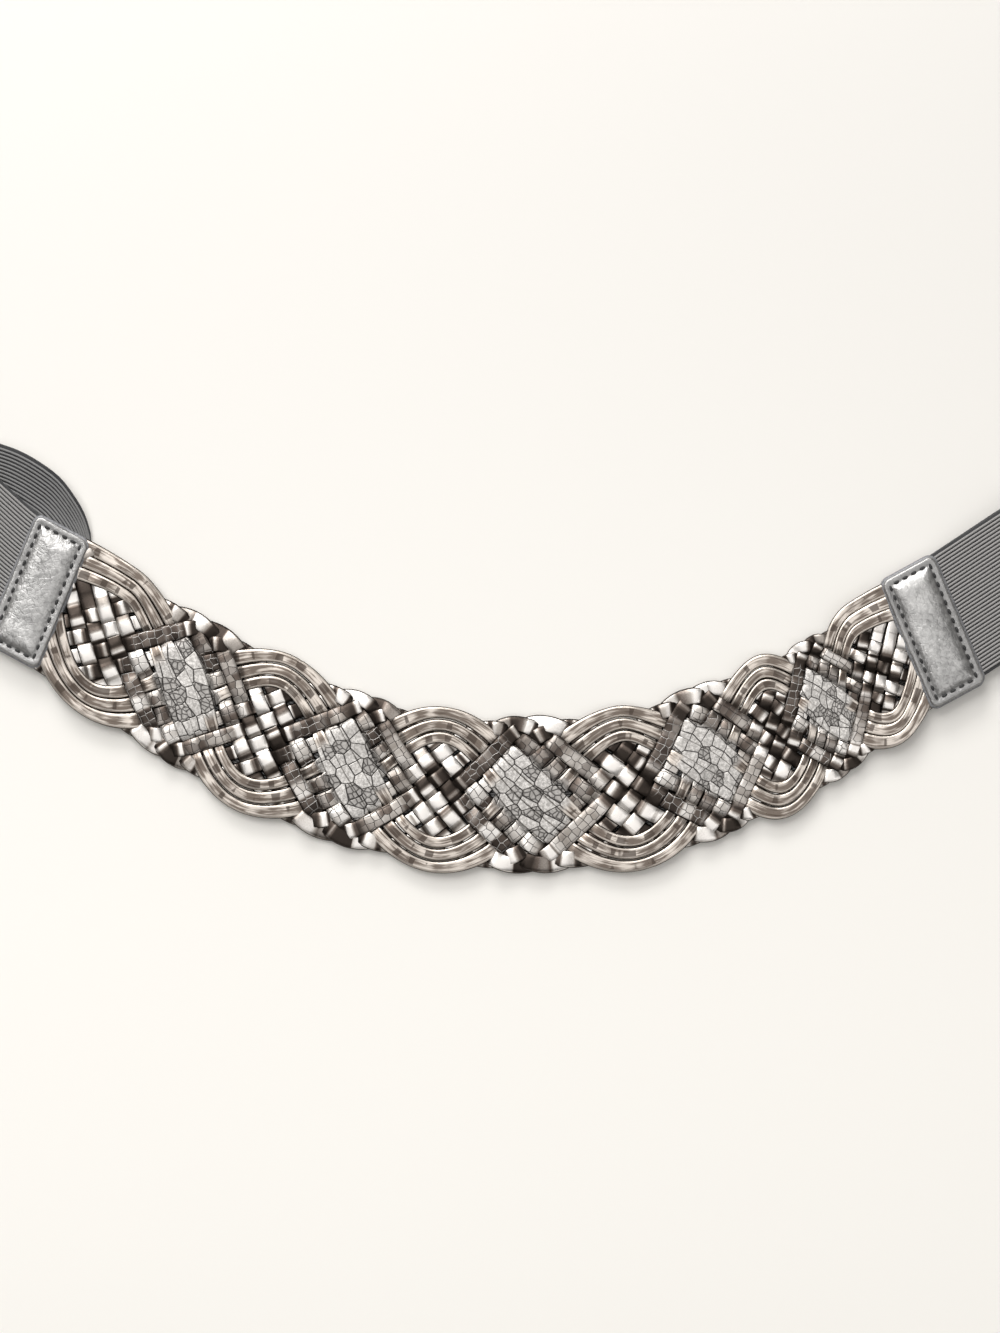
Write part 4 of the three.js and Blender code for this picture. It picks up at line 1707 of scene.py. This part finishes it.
@dataclass
class Elastic:
    """The ribbed elastic, from one tab out, over, and back below the panel to the other.

    A row of the upper run is a distance out and a height, and one of the left curl a distance out, a
    shift across and the rise of the upper edge.
    """

    midline: Midline
    heading: float = 33.5
    lean: float = 22.6
    width: float = 46.6
    width_below: float = 37.0
    station_step: float = 0.3
    ground: float = 0.5
    ground_bulge: float = 0.25
    nominal: float = 1.5
    turn_out: float = 46.0
    turn_steps: int = 8
    top_z: float = 8.85
    curl_starts: float = 26.4
    curl_power: float = 1.4
    columns: int = 40
    column_pitch: float = 1.16
    finer: int = 3
    ribs: int = 36
    rib_radius: float = 0.41
    selvedge: float = 0.6
    upper_run: tuple[Range, ...] = (
        (5.5, 4.25),
        (11.0, 4.25),
        (16.0, 4.6),
        (25.0, 6.0),
        (36.0, 7.9),
        (46.0, 8.85),
    )
    left_curl: tuple[Triple, ...] = (
        (40.0, 12.0, 1.5),
        (33.5, 13.6, 3.0),
        (25.8, 15.4, 4.2),
        (17.5, 16.1, 4.8),
        (8.7, 15.6, 4.8),
        (1.0, 12.8, 4.0),
        (-4.8, 9.3, 2.6),
        (-9.0, 4.9, 0.8),
        (-11.6, 1.2, 0.0),
    )
    right_run: tuple[float, ...] = (36.0, 20.0, 4.0, -9.0)
    left_shifts: Range = (5.0, 10.0)

    def tab_point(self, end: End, out: float, v: Array, z: Array | float) -> Array:
        """Points near a tab.

        Args:
            end: which tab.
            out: distance from the tab's middle along the elastic.
            v: distances across it.
            z: heights.

        Returns:
            Points in millimetres.
        """
        knot = self.midline.knots[0 if end is End.LEFT else -1]
        h, a = math.radians(self.heading), math.radians(self.lean)
        points = np.zeros((len(v), 3))
        points[:, 0] = knot[0] + end.value * (out * math.cos(h) - v * math.sin(a)) + self.midline.shift[0]
        points[:, 1] = knot[1] + out * math.sin(h) + v * math.cos(a) + self.midline.shift[1]
        points[:, 2] = z
        return points

    def spread(self, width: float, shift: float) -> Array:
        """Places across the elastic, from its lower to its upper edge."""
        return shift + np.linspace(-width / 2.0, width / 2.0, self.columns + 1)

    def end_rows(self, end: End) -> list[Array]:
        """Middle surface of one end, from inside the tab round the loop to the panel.

        Args:
            end: which end.

        Returns:
            Rows of points.
        """
        first, last = self.left_shifts if end is End.LEFT else (0.0, 0.0)
        rows: list[Array] = []
        for out, z in self.upper_run:
            shift = first * float(smoothstep(out, self.upper_run[0][0], self.turn_out))
            rows.append(self.tab_point(end, out, self.spread(self.width, shift), z))
        lowest = self.nominal / 2.0
        radius = (self.top_z - lowest) / 2.0
        for step in range(1, self.turn_steps + 1):
            share = step / self.turn_steps
            angle = math.pi * (0.5 - share)
            v = self.spread(self.width, first + (last - first) * share)
            out = self.turn_out + radius * math.cos(angle)
            rows.append(self.tab_point(end, out, v, radius + lowest + radius * math.sin(angle)))
        below = self.left_curl if end is End.LEFT else tuple((out, 0.0, 0.0) for out in self.right_run)
        for out, shift, lift in below:
            v = self.spread(self.width, shift)
            bend = min(self.curl_starts, v[-1] - 1.0)
            rise = lift * np.clip((v - bend) / (v[-1] - bend), 0.0, 1.0) ** self.curl_power
            rows.append(self.tab_point(end, out, v, lowest + rise))
        return rows

    def surface(self) -> Array:
        """The whole middle surface.

        Returns:
            An array of rows, columns and coordinates in millimetres.
        """
        rows = self.end_rows(End.LEFT)
        last = self.midline.repeats - self.station_step
        for u in np.arange(self.station_step, last + 0.01, self.station_step):
            v = self.spread(self.width_below, 0.0)
            rows.append(self.midline.place(np.full(len(v), u), v, self.nominal / 2.0))
        rows += list(reversed(self.end_rows(End.RIGHT)))
        return self.refined(np.array(rows))

    def refined(self, rows: Array) -> Array:
        """Adds rows on smooth curves between the given ones.

        Args:
            rows: rows of points.

        Returns:
            The denser rows.
        """
        padded = np.concatenate([rows[:1], rows, rows[-1:]])
        shares = [step / self.finer for step in range(self.finer)]
        out = [between(list(padded[k - 1 : k + 3]), w)[0] for k in range(1, len(rows)) for w in shares]
        return np.array([*out, rows[-1]])

    def band(self, middle: Array, normal: Array, cloth: Material) -> Piece:
        """Builds the ground of the elastic.

        Args:
            middle: its middle surface.
            normal: the surface's directions.
            cloth: its finish.

        Returns:
            The ground.
        """
        outer = middle + normal * (self.ground / 2.0)
        inner = middle - normal * (self.ground / 2.0)
        ring = np.concatenate([middle[:, :1], outer, middle[:, -1:], inner[:, ::-1]], axis=1)
        columns = outer.shape[1]
        for edge, next_to_it in ((0, middle[:, 1]), (columns + 1, middle[:, -2])):
            ring[:, edge] += (ring[:, edge] - next_to_it) * self.ground_bulge
        along = lengths(middle[:, columns // 2])[:, None]
        across = np.concatenate([[0.0], np.arange(columns), [columns], np.arange(columns)[::-1]])
        uv = np.stack(np.broadcast_arrays(along, across[None, :] * self.column_pitch), axis=2)
        faces = tube_faces(*ring.shape[:2])
        made = mesh_object("elastic_ground", ring.reshape(-1, 3) * MM, faces, cloth, uv.reshape(-1, 2))
        return outward(made)

    def rib_lines(self, middle: Array, normal: Array, sign: int) -> tuple[Array, list[tuple[int, int]]]:
        """Lines that the ribs of one face follow.

        Args:
            middle: the elastic's middle surface.
            normal: its directions.
            sign: 1 for the face that the directions point to, -1 for the other.

        Returns:
            Points and the edges between them.
        """
        rows = len(middle)
        share = (np.arange(self.ribs) + 0.5) / self.ribs
        margin = self.selvedge / self.width
        place = (margin + share * (1.0 - 2.0 * margin)) * self.columns
        k = np.clip(place.astype(int), 0, self.columns - 1)
        w = (place - k)[None, :, None]
        base = middle + sign * normal * (self.nominal / 2.0 - self.rib_radius)
        lines = base[:, k] * (1.0 - w) + base[:, k + 1] * w
        edges = [(r * rows + j, r * rows + j + 1) for r in range(self.ribs) for j in range(rows - 1)]
        return np.transpose(lines, (1, 0, 2)).reshape(-1, 3), edges

    def make(self, cloth: Material, outer_yarn: Material, inner_yarn: Material) -> None:
        """Builds the elastic and its ribs.

        Args:
            cloth: the ground's finish, near black as painted shade between the ribs.
            outer_yarn: the outer ribs' finish.
            inner_yarn: the inner ribs' finish, darker than the outer ribs' as painted shade.
        """
        middle = self.surface()
        normal = unit(np.cross(np.gradient(middle, axis=0), np.gradient(middle, axis=1)))
        dressed(self.band(middle, normal, cloth), "ribbed_elastic", "elastic_band")
        outside = 1 if float(normal[2, self.columns // 2, 2]) > 0 else -1
        faces = ((outside, "elastic_ribs_outer", outer_yarn), (-outside, "elastic_ribs_inner", inner_yarn))
        for sign, name, yarn in faces:
            points, edges = self.rib_lines(middle, normal, sign)
            dressed(Ribs(yarn, self.rib_radius).along(name, points, edges), "ribbed_elastic")


# The table, the lights and the camera


@dataclass
class Studio:
    """A pale table under soft lights, with the camera straight above, in metres and watts."""

    aim: Range
    view_height: float = 0.4761
    lens: float = 85.0
    sensor: float = 36.0
    table_half: float = 15.0
    table_z: float = -0.0001
    belt_middle: Triple = (0.0, -0.02, 0.0)
    room: Colour = (0.98, 0.96, 0.93)
    wall: float = 0.75
    ceiling: float = 0.06
    upwards: Range = (0.1, 0.5)
    # Each lamp's name, place, size and power
    lamps: tuple[tuple[str, Triple, Range, float], ...] = (
        ("key", (-0.5, 0.85, 1.2), (1.2, 0.9), 16.0),
        ("side", (-0.35, 1.5, 0.8), (1.0, 0.4), 16.0),
        ("top", (0.0, -0.15, 1.75), (2.0, 1.9), 12.5),
        ("fill", (0.95, -0.45, 1.0), (0.3, 0.8), 1.5),
    )

    def table(self, finish: Material) -> None:
        """Lays the table top.

        Args:
            finish: its material.
        """
        half = self.table_half
        flat = ((-half, -half), (half, -half), (half, half), (-half, half))
        corners = np.array([(x, y, self.table_z) for x, y in flat])
        mesh_object("table", corners, [(0, 1, 2, 3)], finish, smooth=False)

    def lamp(self, name: str, place: Triple, size: Range, power: float) -> None:
        """Hangs a soft box that faces the belt.

        Args:
            name: the lamp's name.
            place: where it hangs.
            size: its width and height.
            power: its power.
        """
        light = bpy.data.lights.new(name, "AREA")
        light.shape = "RECTANGLE"
        light.size, light.size_y = size
        light.energy = power
        made = linked(name, light)
        made.location = place
        towards = Vector(self.belt_middle) - Vector(place)
        made.rotation_euler = towards.to_track_quat("-Z", "Y").to_euler()

    def surroundings(self) -> None:
        """Makes the dim room, bright at the walls and dark at the ceiling."""
        world = bpy.data.worlds.new("room")
        world.use_nodes = True
        g = Graph(world.node_tree)
        around = g.node("ShaderNodeTexCoord", output="Generated")
        upwards = g.node("ShaderNodeSeparateXYZ", {}, {0: around}, "Z")
        strength = upwards.stretch(*self.upwards, self.wall, self.ceiling)
        glow = {"Color": (*self.room, 1.0), "Strength": strength}
        g.node("ShaderNodeOutputWorld", {}, {"Surface": g.node("ShaderNodeBackground", {}, glow)})
        bpy.context.scene.world = world

    def camera(self) -> None:
        """Puts the camera straight above the middle of the view."""
        data = bpy.data.cameras.new("camera")
        data.lens = self.lens
        data.sensor_width = self.sensor
        data.sensor_fit = "AUTO"
        made = linked("camera", data)
        made.location = (self.aim[0] * MM, self.aim[1] * MM, self.view_height * self.lens / self.sensor)
        bpy.context.scene.camera = made

    def make(self, finish: Material) -> None:
        """Sets up the whole studio.

        Args:
            finish: the table's material.
        """
        self.table(finish)
        for lamp in self.lamps:
            self.lamp(*lamp)
        self.surroundings()
        self.camera()
        bpy.context.scene.view_settings.view_transform = "Standard"


def main() -> None:
    """Builds the dressed belt and the studio, in order."""
    logging.basicConfig(level=logging.INFO, format="%(name)s: %(message)s")
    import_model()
    midline = Midline.fitted()
    LOG.info("shift %s", midline.shift)
    Studio(aim=midline.shift).make(TableFinish().make())
    PlaitedPanel(midline).make(StripFinish().make())
    foil, leather, thread = FoilFinish().make(), BackingFinish().make(), ThreadFinish().make()
    for end, knot in ((End.LEFT, midline.knots[0]), (End.RIGHT, midline.knots[-1])):
        centre = (knot[0] + midline.shift[0], knot[1] + midline.shift[1])
        Tab(end, centre).make(foil, leather, thread)
    # The ground is near black as painted shade in the grooves between the ribs
    ground = WebbingFinish(name="elastic_ground_painted_shade_yarn", light=(0.05, 0.05, 0.051), shade=(0.015, 0.015, 0.016))
    # The inner ribs get a darker copy of the yarn as painted shade on the elastic's inner face
    inner = WebbingFinish(name="elastic_inner_painted_shade_yarn", light=(0.3, 0.295, 0.29), shade=(0.1, 0.098, 0.096))
    Elastic(midline).make(ground.make(), WebbingFinish().make(), inner.make())


if __name__ == "__main__":
    main()
